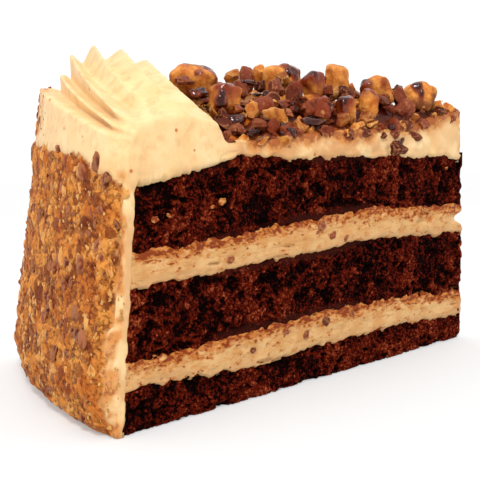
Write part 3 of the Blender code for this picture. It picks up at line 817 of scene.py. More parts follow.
def stage_material(colours):
    """White studio sweep, matt and evenly lit, so that only a faint shadow shows on it."""
    made, tree, outputs = new_material("studio_sweep", ("lit",), ((400.0, 2.0, 0.5),))
    _, lit, weave = outputs
    body = paint(tree, colours.floor_light, ((colours.floor_shade, weave),))
    glow = {"Emission Color": linear("#FFFFFF"), "Emission Strength": lit}
    finish(tree, weave, 0.0, body, 0.9, 1.5, 0.0, glow)
    return made


# Each kind of stuff: how its material is made, and its slot
KINDS = {
    "sponge": (sponge_material, "cake"),
    "cream": (cream_material, "filling"),
    "frosting": (frosting_material, "frosting"),
    "coat": (coat_material, "crumb_coat"),
    "peanut": (peanut_candy_material, "peanut_candy"),
    "chocolate": (milk_chocolate_material, "milk_chocolate"),
    "fudge": (fudge_material, "milk_chocolate"),
    "bed": (bed_material, "peanut_candy"),
}
MATERIALS = {}


def material(context, kind):
    """Material of one kind, made the first time that it is asked for."""
    if kind not in MATERIALS:
        MATERIALS[kind] = KINDS[kind][0](context.scene.slice_colours)
    return MATERIALS[kind]


# The pieces


def sponge_relief(points, sizes):
    """How far the torn crumb stands out of the cut: clumps, grains of crumb, pores and tears."""
    warp = np.stack([soft_noise(points, 2.0 * MM, seed) for seed in (1, 2, 3)], -1)
    bent = points + 0.6 * MM * warp
    torn = np.stack([soft_noise(points, 1.7 * MM, seed, 2) for seed in (11, 12, 13)], -1)
    flat = (points + 0.9 * MM * torn) * np.array((0.7, 0.7, 1.0))
    relief = 0.3 * MM * grains(bent, CLUMP_SIZE, 4)[0]
    relief += 0.5 * MM * grains(bent, sizes.crumb_size, 5)[0]
    relief += 0.3 * MM * grains(bent, 0.55 * sizes.crumb_size, 6)[0]
    relief -= PORE_DEPTH * holes(flat, PORE_SIZE, 7, 0.35)
    relief -= sizes.tear_depth * holes(flat, TEAR_SIZE, 8, 0.4)
    relief += 0.35 * MM * soft_noise(points, 8.0 * MM, 9, 2)
    return relief - CRUMB_LEVEL


def layer_places(low_name, high_name, step, rows):
    """Corners of a layer that reaches a little into its neighbours, with its own coordinates."""
    counts = (round((BASE_RADIUS + OVERLAP) / step), LAYER_ACROSS, rows)
    places, faces = lattice(*counts)
    share = places / np.array(counts)
    turn = (2.0 * share[:, 1] - 1.0) * HALF_ANGLE
    reach = share[:, 0] * (BASE_RADIUS + OVERLAP)
    low = LEVELS[low_name](reach, turn)
    high = LEVELS[high_name](reach, turn)
    bottom = low - (OVERLAP if low_name != "base" else 0.0)
    height = bottom + (high + OVERLAP - bottom) * share[:, 2]
    radius = share[:, 0] * (sponge_radius(height) + OVERLAP)
    on_cut = (places[:, 1] == 0) | (places[:, 1] == counts[1])
    return faces, radius, turn, height, low, high, on_cut


def sponge_layer(context, name, node, low_name, high_name, rows):
    """One layer of sponge whose two cut faces are open, torn crumb."""
    sizes = context.scene.slice_sizes
    made = layer_places(low_name, high_name, sizes.sponge_step, rows)
    faces, radius, turn, height, low, high, on_cut = made
    points = at(radius, turn, height)
    torn = torn_line(points)
    inside = np.minimum(high - height, sponge_radius(height) - radius)
    if low_name != "base":
        inside = np.minimum(inside, height - low)
    inside = inside - torn
    relief = np.zeros(len(points))
    relief[on_cut] = sponge_relief(points[on_cut], sizes)
    patch = soft_noise(points * np.array((1.0, 1.0, 0.2)), 16.0 * MM, 19)
    skin = np.minimum(np.abs(height - low), np.abs(high - height))
    crust = ramp(2.2 * MM, 0.9 * MM, skin + torn) * ramp(-0.2, 0.4, patch)
    crust = crust * (low_name != "base") * ramp(104.0 * MM, 92.0 * MM, radius)
    lip = ramp(-OVERLAP, 0.3 * MM, inside)
    held = (0.45 + 0.55 * ramp(0.0, 1.6 * MM, inside)) * (1.0 - 0.6 * crust)
    under = 0.45 * MM * ramp(1.3 * MM, 0.1 * MM, high - height - torn)
    offset = relief * held - 0.1 * MM - under - 2.0 * MM * (1.0 - lip)
    points += np.where(on_cut, offset, 0.0)[:, None] * cut_normal(turn)
    points[:, 0] += tip_notches(points, turn, radius, 3.2 * MM, 1.3 * MM)
    # Relief from 0 in the pores to 1 on the grains, used for painted shade and a painted highlight
    facts = {"relief_shading": np.clip(0.55 + relief / (1.3 * MM), 0.0, 1.0), "crust": 0.85 * crust}
    new_piece(context, name, "sponge", points, faces, facts, (node,))


def cream_relief(points, slit_depth):
    """How far spread cream stands out of the cut: the knife's drag lines, dents and a few slits."""
    lines = points * np.array((0.12, 0.12, 1.0))
    drag = 0.15 * MM * soft_noise(lines, 1.1 * MM, 31, 2)
    slit = soft_noise(lines * np.array((1.6, 1.6, 1.0)), 1.4 * MM, 32)
    wave = 0.25 * MM * soft_noise(points, 6.0 * MM, 33, 2)
    dent = 0.14 * MM * soft_noise(points, 1.3 * MM, 34, 2)
    return drag + wave + dent - slit_depth * ramp(0.62, 0.8, slit)


def cream_layer(context, name, node, low_name, high_name, rows):
    """One filling between two layers of sponge."""
    made = layer_places(low_name, high_name, context.scene.slice_sizes.cream_step, rows)
    faces, radius, turn, height, low, high, on_cut = made
    points = at(radius, turn, height)
    torn = torn_line(points)
    inside = np.minimum(high - height, height - low) + torn
    beyond = radius - sponge_radius(height)
    lip = ramp(-OVERLAP, 0.2 * MM, inside)
    offset = cream_relief(points, 0.9 * MM) - 1.7 * MM * (1.0 - lip)
    offset = offset - 0.8 * MM * ramp(0.0, 1.0 * MM, beyond)
    points += np.where(on_cut, offset, 0.0)[:, None] * cut_normal(turn)
    points[:, 0] += tip_notches(points, turn, radius, 4.0 * MM, 0.6 * MM)
    clean = 4.0 * MM * ramp(-3.0 * MM, 0.0, beyond)
    facts = {
        "above": np.maximum(high - height, 0.0) + clean,
        "below": np.maximum(height - low, 0.0) + clean,
    }
    new_piece(context, name, "cream", points, faces, facts, (node,))


def border_outline(angles, turns):
    """Distance from the heart of the border's section to its outline, read from its solid."""
    tree = node_tree("piped_border")
    reach = np.zeros((len(angles), len(turns)))
    for column, turn in enumerate(turns):
        turn = max(-0.985 * HALF_ANGLE, min(0.985 * HALF_ANGLE, turn))
        heart = Vector(at(BORDER_HEART_RADIUS, turn, BORDER_HEART_HEIGHT))
        out = Vector((-math.cos(turn), math.sin(turn), 0.0))
        for row, angle in enumerate(angles):
            way = out * math.cos(angle) + Vector((0.0, 0.0, math.sin(angle)))
            hit = tree.ray_cast(heart, way)
            reach[row, column] = hit[3] if hit[0] else reach[row - 1, column]
    return reach


def smoothed(table, rounds):
    """Averages each row of a table with its neighbours, and keeps the first and the last."""
    for _ in range(rounds):
        inner = 0.25 * table[:-2] + 0.5 * table[1:-1] + 0.25 * table[2:]
        table = np.concatenate([table[:1], inner, table[-1:]])
    return table


def over_grid(level, radius, turn):
    """A level's height over a grid of places."""
    return LEVELS[level](radius.ravel(), turn.ravel()).reshape(radius.shape)


def frosting_sheets():
    """Outer and inner sheet of the frosting: up the side, over the border and along the top."""
    turns = np.linspace(-HALF_ANGLE, HALF_ANGLE, FROSTING_ACROSS + 1)
    level = np.linspace(0.0, BORDER_FOOT, SIDE_ROWS + 1)[:-1, None]
    level, turn = np.broadcast_arrays(level, turns[None, :])
    side = at(side_radius(turn, level) - COAT_BED * coat_cover(turn, level), turn, level)
    top_edge = LEVELS["top_top"](np.full(FROSTING_ACROSS + 1, 118.0 * MM), turns)
    inner_level = level / BORDER_FOOT * (top_edge - FROSTING_BED)
    side_in = at(sponge_radius(inner_level) - FROSTING_BED, turn, inner_level)

    angles = np.linspace(BORDER_START, BORDER_END, BORDER_ROWS + 1)
    reach = border_outline(angles, turns)
    # How far each point sinks below the smoothed outline in the grooves, later painted as shade
    groove = np.clip((smoothed(reach.T, 30).T - reach) / (1.2 * MM), 0.0, 1.0)
    reach = smoothed(smoothed(reach, 3).T, 1).T
    share, turn = np.broadcast_arrays(np.linspace(0.0, 1.0, BORDER_ROWS + 1)[:, None], turns)
    radius = BORDER_HEART_RADIUS + reach * np.cos(angles)[:, None]
    border = at(radius, turn, BORDER_HEART_HEIGHT + reach * np.sin(angles)[:, None])
    rim = TOP_RADIUS - FROSTING_BED
    radius = rim + (BORDER_INNER_RADIUS - rim) * share
    border_in = at(radius, turn, over_grid("top_top", radius, turn) - FROSTING_BED)

    radius = np.linspace(BORDER_INNER_RADIUS - 0.6 * MM, 0.0, TOP_ROWS)[:, None]
    radius, turn = np.broadcast_arrays(radius, turns[None, :])
    top = at(radius, turn, over_grid("frosting", radius, turn))
    top[..., 2] += 0.5 * MM * soft_noise(top, 2.4 * MM, 43, 2)
    top_in = at(radius, turn, over_grid("top_top", radius, turn) - FROSTING_BED)
    outer = np.concatenate([side, border, top])
    inner = np.concatenate([side_in, border_in, top_in])
    grooves = np.zeros(outer.shape[:2])
    grooves[SIDE_ROWS : SIDE_ROWS + BORDER_ROWS + 1] = groove
    return outer, inner, turns, grooves


def frosting(context):
    """All the frosting in one mesh: the side, the piped border and the top."""
    sizes = context.scene.slice_sizes
    outer, inner, turns, grooves = frosting_sheets()
    rows, columns = outer.shape[:2]
    flat = outer.reshape(-1, 3)
    normals = -mesh_normals(flat, sheet_faces(rows, columns)).reshape(outer.shape)
    steps = np.linalg.norm(np.diff(outer, axis=0), axis=2)
    travel = np.concatenate([np.zeros((1, columns)), np.cumsum(steps, axis=0)])
    lines = np.stack([0.05 * travel.ravel(), flat[:, 1], 0.0 * flat[:, 1]], -1)
    streak = sizes.streak_depth * soft_noise(lines, 1.0 * MM, 41, 2)
    dent = 0.16 * MM * soft_noise(flat, 7.0 * MM, 44, 2)
    above_side = ramp(BORDER_FOOT - 4.0 * MM, BORDER_FOOT, flat[:, 2])
    outer = outer + normals * ((streak + dent) * above_side).reshape(rows, columns)[..., None]
    places, faces = lattice(rows - 1, columns - 1, FROSTING_THROUGH, open_below=True)
    i, j, k = places.T
    share = (k / FROSTING_THROUGH)[:, None]
    points = inner[i, j] * (1.0 - share) + outer[i, j] * share
    turn = turns[j]
    radius = np.hypot(TIP - points[:, 0], points[:, 1])
    thickness = np.linalg.norm(outer[i, j] - inner[i, j], axis=1)
    to_outline = (1.0 - k / FROSTING_THROUGH) * thickness
    to_cut = from_cut(turn, np.maximum(radius, 1.0 * MM))
    on_cut = (j == 0) | (j == columns - 1)
    bend = 1.0 - np.sqrt(1.0 - np.clip(1.0 - to_outline / sizes.knife_round, 0.0, 1.0) ** 2)
    rounding = bend * corner_wear(to_cut, sizes.knife_round)
    rounding = np.minimum(rounding, 0.9 * np.abs(points[:, 1]))
    inside = k / FROSTING_THROUGH * thickness - FROSTING_BED + torn_line(points)
    lip = ramp(-OVERLAP, 0.2 * MM, inside)
    beside = on_cut * ramp(95.0 * MM, 88.0 * MM, radius)
    relief = cream_relief(points, 0.3 * MM) + 0.25 * MM - 1.9 * MM * (1.0 - lip)
    relief += 0.4 * MM * beside * soft_noise(points, 1.8 * MM, 47, 3)
    points += (np.where(on_cut, relief, 0.0) - rounding)[:, None] * cut_normal(turn)
    points[:, 0] += tip_notches(points, turn, radius, 5.0 * MM, 0.8 * MM)
    points[:, 0] -= TIP_WORN * np.exp(-((radius / (5.0 * MM)) ** 2))
    points[:, 2] = np.maximum(points[:, 2], 0.0)
    height = points[:, 2]
    line = np.stack([radius, 0.0 * radius, np.sign(turn)], -1)
    reach = 5.6 * MM + 3.6 * MM * soft_noise(line, 7.0 * MM, 46, 2)
    beside_heap = ramp(91.0 * MM, 84.0 * MM, radius) * ramp(0.0, 1.0, 1.0 - to_outline / reach)
    outer_wall = ramp(116.0 * MM, 121.0 * MM, radius) * ramp(84.0 * MM, 76.0 * MM, height)
    dragged = ramp(-0.6, 0.8, turn / HALF_ANGLE) * ramp(56.0 * MM, 60.0 * MM, height)
    blotch = np.clip(0.75 + 1.1 * soft_noise(points, 3.0 * MM, 48, 3), 0.0, 1.0)
    strip = beside * blotch * (0.5 + 0.5 * ramp(20.0 * MM, 50.0 * MM, radius))
    # Blotches low on the outer side, partly stain and partly painted shade
    side = 0.8 * blotch * ramp(64.0 * MM, 52.0 * MM, height) * (radius > 100.0 * MM)
    beside_coat = ramp(2.6 * MM, 0.0, to_outline - to_cut) * blotch
    beside_coat *= (radius > sponge_radius(height)) * ramp(62.0 * MM, 56.0 * MM, height)
    # Painted shade in the grooves of the piping
    in_groove = 0.7 * grooves[i, j] * (k == FROSTING_THROUGH)
    # shaded holds painted shade in the grooves and low on the side, and stain blotches on the cut
    # strip
    facts = {
        "stain": np.maximum(beside_heap, 0.7 * beside_coat),
        "smear": outer_wall * dragged,
        "shaded": np.maximum(in_groove, np.maximum(strip, side)),
    }
    nodes = ("frosting_top", "frosting_side", "piped_border")
    new_piece(context, "frosting", "frosting", points, faces, facts, nodes)


def coat_cover(turn, height):
    """Share of the crumb coat, 1 where it lies on the frosting and 0 outside its ragged edge."""
    to_cut = from_cut(turn, BASE_RADIUS)
    bare = 0.2 * MM + 0.7 * MM * ramp(34.0 * MM, 20.0 * MM, height)
    top = 56.5 * MM + 6.0 * MM * ramp(-1.0, -0.45, turn / HALF_ANGLE)
    spots = at(BASE_RADIUS + 0.0 * turn, turn, height)
    ragged = 1.1 * MM * soft_noise(spots, 3.2 * MM, 51, 3)
    cover = ramp(-0.5 * MM, 0.9 * MM, np.minimum(to_cut - bare, top - height) + ragged)
    return cover * ramp(0.0, 0.6 * MM, to_cut)


def crumb_coat(context):
    """The crushed candy pressed on the side, as one sheet of grains with a ragged edge."""
    turns = np.linspace(-HALF_ANGLE, HALF_ANGLE, COAT_COLUMNS)
    turn, height = np.meshgrid(turns, np.linspace(0.15 * MM, COAT_TOP, COAT_ROWS))
    turn, height = turn.ravel(), height.ravel()
    radius = side_radius(turn, height)
    knife_round = context.scene.slice_sizes.knife_round
    points = at(radius, turn, height)
    cover = coat_cover(turn, height)
    large, large_tone = grains(points, 3.4 * MM, 52)
    middle, middle_tone = grains(points, 1.7 * MM, 56)
    small, small_tone = grains(points, 0.95 * MM, 58)
    large = large * (large_tone < 0.35)
    relief = 0.55 * MM * large + 0.42 * MM * middle + 0.26 * MM * small
    proud = -COAT_BED + cover * (COAT_THICKNESS + relief)
    points = at(radius + proud, turn, height)
    rounding = corner_wear(from_cut(turn, radius), knife_round)
    points -= rounding[:, None] * cut_normal(turn)
    facts = {
        "tone": np.where(large > 0.3, large_tone / 0.35, 0.6 * middle_tone + 0.4 * small_tone),
        # How low each point lies between the grains, painted dark as shade
        "pit_shade": np.clip(1.0 - relief / (0.75 * MM), 0.0, 1.0),
        "bare": 1.0 - ramp(0.25, 0.8, cover),
    }
    faces = sheet_faces(COAT_ROWS, COAT_COLUMNS)
    faces = faces[(cover > 0.0)[faces].any(axis=1)]
    new_piece(context, "crumb_coat", "coat", points, faces, facts)


def on_side(draw, turn, height, across, flat):
    """Where and how a bit of the coat lies on the side."""
    radius = side_radius(turn, height) + draw.uniform(-0.15, 0.1) * across
    size = (across * flat, across * draw.uniform(0.6, 0.9), across * draw.uniform(0.8, 1.4))
    tilt = ("X", draw.uniform(-0.5, 0.5)), ("Y", draw.uniform(-0.25, 0.25))
    return at(radius, turn, height), np.array(size), turned(("Z", -turn), *tilt)


def coat_bits(context):
    """Grains and larger bits that stand out of the crumb coat."""
    draw = np.random.default_rng(61)
    for name, kind, count, small, large, detail, cuts in (
        ("coat_grains", "peanut", 900, 0.6, 1.5, 1, 6),
        ("coat_candy_bits", "peanut", 130, 1.8, 4.2, 2, 5),
        ("coat_chocolate_bits", "chocolate", 200, 1.2, 4.0, 2, 5),
    ):
        laid = []
        while len(laid) < count:
            turn = draw.uniform(-1.0, 1.0) * HALF_ANGLE
            height = draw.uniform(0.8, 65.0) * MM
            across = (small + (large - small) * draw.random() ** 2.5) * MM
            if coat_cover(turn, height) > 0.9 and height > 0.7 * across:
                laid.append(on_side(draw, turn, height, across, draw.uniform(0.4, 0.6)))
        if kind == "chocolate":
            for degrees, height, across in COAT_PIECES:
                laid.append(on_side(draw, turn_at(degrees), height * MM, across * MM, 0.5))
        strew(context, name, kind, laid, draw, (10, 600, detail, cuts, 0.35, 0.3), 40.0)


def frosting_bits(context):
    """Crumbs dragged from the coat over the border's wall and around the corners of the cuts."""
    draw = np.random.default_rng(63)
    mesh = bpy.data.objects["frosting"].data
    smear = np.zeros(len(mesh.vertices), dtype=np.float32)
    mesh.attributes["smear"].data.foreach_get("value", smear)
    spots = np.array([vert.co for vert in mesh.vertices])
    radius = np.hypot(TIP - spots[:, 0], spots[:, 1])
    to_cut = from_cut(np.arctan2(spots[:, 1], TIP - spots[:, 0]), radius)
    beyond = radius - sponge_radius(spots[:, 2])
    low = (spots[:, 2] > 1.0 * MM) & (spots[:, 2] < TOP_OF_CAKE)
    wall = np.flatnonzero(smear > 0.5)
    loose = soft_noise(spots, 5.0 * MM, 64, 2) > 0.0
    corner = np.flatnonzero((beyond > 1.0 * MM) & (to_cut < 4.0 * MM) & low & loose)
    for name, kind, room, count, spread in (
        ("wall_candy_bits", "peanut", wall, 30, 1.9),
        ("wall_chocolate_bits", "chocolate", wall, 26, 1.9),
        ("corner_crumbs", "peanut", corner, 200, 0.8),
    ):
        laid = []
        for pick in draw.choice(room, count):
            across = (0.45 + spread * draw.random() ** 2) * MM
            size = across * np.array((0.7, draw.uniform(0.9, 1.5), 0.45))
            out = mesh.vertices[int(pick)].normal.to_track_quat("Z", "Y")
            laid.append((spots[pick], size, np.array(out.to_matrix())))
        strew(context, name, kind, laid, draw, (8, 640, 2, 7, 0.06, 0.24), 35.0)


def cut_bits(context):
    """Candy that the knife passed, set in the cut cream, and flecks of cream on the sponge."""
    draw = np.random.default_rng(65)
    for name, kind, spots, flat, sunk in (
        ("candy_in_cream", "chocolate", NEAR_CUT_CANDY, 0.35, 0.0),
        ("cream_flecks", "cream", NEAR_CUT_FLECKS, 0.25, 0.2 * MM),
    ):
        laid = []
        for side in (-1.0, 1.0):
            for radius, height, across in spots:
                if side > 0.0:
                    radius = radius * draw.uniform(0.7, 0.98)
                turn = np.array(side * HALF_ANGLE)
                spot = at(np.array(radius * MM), turn, np.array(height * MM))
                size = np.array((across, across * flat, across * draw.uniform(0.5, 0.9))) * MM
                lean = turned(("Z", -side * HALF_ANGLE), ("Y", draw.uniform(-0.8, 0.8)))
                laid.append((spot - cut_normal(turn) * sunk, size, lean))
        strew(context, name, kind, laid, draw, (8, 660, 3, 5, 0.5, 0.3))


def heap_bed(context):
    """The bottom of the heap: crushed candy bound by fudge, with puddles of fudge."""
    radii = np.linspace(HEAP_INNER_RADIUS, HEAP_OUTER_RADIUS + 2.0 * MM, BED_ROWS)
    radius, share = np.meshgrid(radii, np.linspace(-1.0, 1.0, BED_COLUMNS), indexing="ij")
    radius, share = radius.ravel(), share.ravel()
    turn = share * (HALF_ANGLE - 0.7 * MM / radius)
    level = LEVELS["frosting"](radius, turn)
    flat = at(radius, turn, 0.0 * radius)
    ragged = 1.3 * MM * soft_noise(flat, 3.6 * MM, 71, 2)
    cover = ramp(0.0, 1.8 * MM, from_cut(turn, radius) - 0.9 * MM + ragged)
    wet = ramp(-0.5, -0.1, soft_noise(flat, 5.0 * MM, 72, 2))
    coarse, tone = grains(flat, 3.4 * MM, 73)
    fine, _ = grains(flat, 1.5 * MM, 78)
    rough = (1.2 * MM * coarse + 0.5 * MM * fine) * (1.0 - 0.7 * wet) + 0.8 * MM * wet
    body = np.maximum(heap_height(radius, turn) - level - 2.2 * MM, 0.3 * MM)
    points = at(radius, turn, level - 0.6 * MM + cover * (body + rough))
    facts = {"wet": wet * cover, "tone": tone}
    faces = sheet_faces(BED_ROWS, BED_COLUMNS)
    new_piece(context, "heap_bed", "bed", points, faces, facts, ("candy_heap",))


def edge_bits(context):
    """Candy that hangs over the frosting's top edge along both cuts."""
    draw = np.random.default_rng(77)
    for name, kind, count, cuts, rough, sharp in (
        ("edge_chocolate_bits", "chocolate", 56, 10, 0.1, 32.0),
        ("edge_peanut_bits", "peanut", 40, 10, 0.1, 32.0),
        ("edge_fudge_drops", "fudge", 10, 0, 0.3, None),
    ):
        laid = []
        for index in range(count):
            side = -1.0 if index % 2 else 1.0
            across = draw.uniform(1.6, 4.4) * MM
            radius = draw.uniform(7.0, 89.0) * MM
            turn = np.array(side * (HALF_ANGLE - draw.uniform(-0.1, 0.5) * across / radius))
            level = LEVELS["frosting"](np.array([radius]), turn)[0]
            height = level + draw.uniform(-0.3, 0.45) * across
            size = across * np.array((1.0, draw.uniform(0.5, 0.8), draw.uniform(0.5, 0.9)))
            lean = turned(("Z", -side * HALF_ANGLE), ("Y", draw.uniform(-0.7, 0.7)))
            laid.append((at(np.array(radius), turn, height), size, lean))
        strew(context, name, kind, laid, draw, (8, 760, 3, cuts, rough, 0.24), sharp)


def chunk_names():
    """Nodes of the large candy pieces."""
    return sorted(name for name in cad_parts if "_chunk_" in name)


class HeapMap:
    """Height of the heap over its plan, raised by each piece that lands on it."""

    def __init__(self, cell):
        across = np.arange(TIP - HEAP_OUTER_RADIUS - 4.0 * MM, TIP + 4.0 * MM, cell)
        along = np.arange(-34.0 * MM, 34.0 * MM, cell)
        self.x, self.y = np.meshgrid(across, along, indexing="ij")
        radius = np.hypot(TIP - self.x, self.y).ravel()
        turn = np.arctan2(self.y, TIP - self.x).ravel()
        top = heap_height(radius, np.clip(turn, -HALF_ANGLE, HALF_ANGLE)).reshape(self.x.shape)
        self.height = top - 1.8 * MM
        self.limit = top + 1.6 * MM

    def land(self, spot, size):
        """Height at which a piece comes to rest there, or None if the heap is full."""
        gap = np.hypot(self.x - spot[0], self.y - spot[1]) / (0.5 * size[0])
        under = gap <= max(0.7, gap.min())
        middle = np.percentile(self.height[under], 65) + 0.25 * size[2]
        if middle > self.limit[under].mean():
            return None
        dome = middle + 0.5 * size[2] * np.sqrt(np.clip(1.0 - gap**2, 0.0, 1.0))
        self.height = np.where(gap < 1.0, np.maximum(self.height, dome), self.height)
        return middle


def heap_bits(context):
    """Small chopped candy, fudge drops and crumbs that landed on the heap."""
    draw = np.random.default_rng(81)
    heap = HeapMap(0.6 * MM)
    solid = []
    for name in chunk_names():
        low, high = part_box(name)
        solid.append((np.array((low + high) / 2.0), 0.42 * (high - low).length / math.sqrt(3.0)))
    kinds = {
        "heap_chocolate_bits": ("chocolate", 190, 1.6, 6.0, 3, 7, 0.24, 32.0),
        "heap_peanut_bits": ("peanut", 130, 2.0, 6.6, 3, 7, 0.24, 32.0),
        "heap_fudge_drops": ("fudge", 34, 1.8, 4.6, 3, 0, 0.5, None),
        "heap_crumbs": ("peanut", 260, 0.5, 1.2, 1, 5, 0.24, 32.0),
    }
    order = [name for name, kind in kinds.items() for _ in range(kind[1]) if "crumbs" not in name]
    draw.shuffle(order)
    order += ["heap_crumbs"] * kinds["heap_crumbs"][1]
    laid = {name: [] for name in kinds}
    for name in order:
        radius = math.sqrt(draw.random()) * (HEAP_OUTER_RADIUS - 3.0 * MM) + 2.0 * MM
        if name == "heap_chocolate_bits" and radius < 58.0 * MM and draw.random() < 0.45:
            name = "heap_peanut_bits"
        small, large = kinds[name][2:4]
        across = (small + (large - small) * draw.random() ** 1.6) * MM
        widest = HALF_ANGLE - (0.5 * across + 0.1 * MM) / radius
        turn = max(widest, 0.0) * draw.uniform(-1.0, 1.0)
        shape = (1.0, draw.uniform(0.55, 1.0), draw.uniform(0.45, 0.9))
        size = across * np.array((1.0, 0.8, 0.4) if "fudge" in name else shape)
        spot = at(radius, turn, 0.0)
        height = heap.land(spot, size) if widest > 0.0 else None
        if height is None:
            continue
        spot[2] = height
        if any(np.linalg.norm(spot - middle) < room for middle, room in solid):
            continue
        tilt = 0.15 if "fudge" in name else 0.6
        lean = turned(("Z", draw.uniform(0.0, 6.28)), ("X", draw.uniform(-tilt, tilt)))
        laid[name].append((spot, size, lean))
    for name, (kind, _, _, _, detail, cuts, rough, sharp) in kinds.items():
        strew(context, name, kind, laid[name], draw, (14, 800, detail, cuts, rough, 0.12), sharp)


def heap_pieces(context):
    """Middle-sized candy and pools of fudge, where the photo shows them."""
    draw = np.random.default_rng(86)
    for name, kind, spots, detail, cuts, rough, sharp in (
        ("heap_peanut_pieces", "peanut", HEAP_PEANUT, 4, 7, 0.14, 35.0),
        ("heap_chocolate_pieces", "chocolate", HEAP_CHOCOLATE, 4, 8, 0.2, 35.0),
        ("heap_fudge_pools", "fudge", FUDGE_POOLS, 3, 0, 0.6, None),
    ):
        laid = []
        for radius, degrees, height, width, tall in spots:
            size = np.array((width, draw.uniform(0.4, 0.5) * (width + tall), tall)) * 1.1 * MM
            lean = turned(("Z", HALF_ANGLE), ("Y", draw.uniform(-0.3, 0.3)))
            laid.append((at(radius * MM, turn_at(degrees), height * MM), size, lean))
        strew(context, name, kind, laid, draw, (9, 860, detail, cuts, rough, 0.16), sharp)


def remeshed(node, step):
    """Even, fine mesh of a node's solid."""
    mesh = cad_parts[node].data.copy()
    made = bpy.data.objects.new(node + "_fine", mesh)
    bpy.context.scene.collection.objects.link(made)
    grid = made.modifiers.new("grid", "REMESH")
    grid.mode = "VOXEL"
    grid.voxel_size = step
    bpy.context.view_layer.update()
    result = made.evaluated_get(bpy.context.evaluated_depsgraph_get()).to_mesh()
    points = np.array([vert.co for vert in result.vertices])
    faces = np.array([list(face.vertices) for face in result.polygons if len(face.vertices) == 4])
    bpy.data.objects.remove(made)
    bpy.data.meshes.remove(mesh)
    return points, faces


def broken(points, seed, cuts):
    """Breaks the corners and edges of a piece away along a few planes."""
    draw = np.random.default_rng(seed)
    low, high = points.min(axis=0), points.max(axis=0)
    share = (points - low) / (high - low) - 0.5
    for _ in range(cuts):
        way = draw.normal(size=3)
        way /= np.linalg.norm(way)
        depth = draw.uniform(0.41, 0.52)
        share -= np.maximum(share @ way - depth, 0.0)[:, None] * way
    return (share + 0.5) * (high - low) + low


def chunk(context, node, index):
    """One large piece of candy with fudge run over it."""
    is_peanut = node.startswith("peanut")
    points, faces = remeshed(node, CHUNK_STEP)
    points = broken(points, 900 + index, 9 if is_peanut else 14)
    for _ in range(2):
        points = 0.5 * points + 0.5 * neighbour_mean(points, faces)[0]
    normals = mesh_normals(points, faces)
    lumps = 0.5 * MM * soft_noise(points + index, 6.0 * MM, 90)
    lumps += 0.3 * MM * soft_noise(points + index, 2.6 * MM, 91, 2)
    lumps += (0.1 if is_peanut else 0.16) * MM * soft_noise(points + index, 0.9 * MM, 92, 2)
    low, high = points.min(axis=0), points.max(axis=0)
    rise = (points[:, 2] - low[2]) / (high[2] - low[2])
    run = soft_noise(points * np.array((1.0, 1.0, 0.5)) + index, 3.6 * MM, 93, 2)
    fudge = drizzle(points, THREAD_ON_CHUNKS + 0.3 * (rise - 0.8) + 0.1 * run)
    for radius, degrees, height, across in FUDGE_DROPS:
        spot = at(radius * MM, turn_at(degrees), height * MM)
        gap = np.linalg.norm(points - spot, axis=1)
        if gap.min() < DROP_REACH:
            gap = (points - points[gap.argmin()]) * np.array((1.0, 1.0, 0.7))
            gap = np.linalg.norm(gap, axis=1) / (0.5 * across * MM)
            fudge = np.maximum(fudge, 0.5 * (1.0 - gap) + 0.4 * run)
    points = points + lumps[:, None] * normals
    facts = {
        "tone": np.full(len(points), (index * 0.37) % 1.0),
        "worn": wear(points, faces),
        # Painted shade: stronger towards the bottom of the chunk, with streaks
        "deep": 1.2 * (0.45 - rise) + 0.4 * run,
        "fudge": fudge,
    }
    kind = "peanut" if is_peanut else "chocolate"
    new_piece(context, node + "_candy", kind, points, faces, facts, (node,))
    wet = faces[(fudge[faces] > -0.06).any(axis=1)]
    if len(wet):
        swell = 0.95 * MM * np.sqrt(np.clip((fudge + 0.04) / 0.4, 0.0, 1.0)) - 0.25 * MM
        used, wet = np.unique(wet, return_inverse=True)
        points = (points + swell[:, None] * normals)[used]
        facts = {"edge": ramp(0.14, 0.02, fudge[used])}
        new_piece(context, node + "_fudge", "fudge", points, wet.reshape(-1, 4), facts)


# The stage


def new_sweep(context):
    """The floor, which bends up in the distance and glows a little."""
    along = np.linspace(0.0, 1.0, SWEEP_RINGS)[:, None]
    around = np.linspace(0.0, math.tau, SWEEP_SPOKES + 1)[None, :]
    reach = 0.01 + SWEEP_REACH * along
    rise = SWEEP_RISE * ramp(0.55, 1.0, along) ** 2 - 0.2 * MM
    corners = np.stack([reach * np.cos(around), reach * np.sin(around), rise + 0.0 * around], -1)
    faces = sheet_faces(SWEEP_RINGS, SWEEP_SPOKES + 1)
    mesh = bpy.data.meshes.new("sweep")
    mesh.from_pydata(corners.reshape(-1, 3).tolist(), [], faces.tolist())
    middle = bmesh.new()
    middle.from_mesh(mesh)
    bmesh.ops.remove_doubles(middle, verts=middle.verts, dist=0.1 * MM)
    bmesh.ops.holes_fill(middle, edges=middle.edges, sides=SWEEP_SPOKES)
    bmesh.ops.recalc_face_normals(middle, faces=middle.faces)
    middle.to_mesh(mesh)
    middle.free()
    spots = np.array([vert.co for vert in mesh.vertices])
    glow = FLOOR_GLOW + WALL_GLOW * ramp(0.2, 1.2, np.linalg.norm(spots, axis=1))
    glow *= 1.0 - FRONT_DIMMED * ramp(-0.12, -0.5, spots[:, 1])
    lit = mesh.attributes.new("lit", "FLOAT", "POINT")
    lit.data.foreach_set("value", glow.astype(np.float32))
    mesh.materials.append(stage_material(context.scene.slice_colours))
    sweep = bpy.data.objects.new("sweep", mesh)
    context.scene.collection.objects.link(sweep)


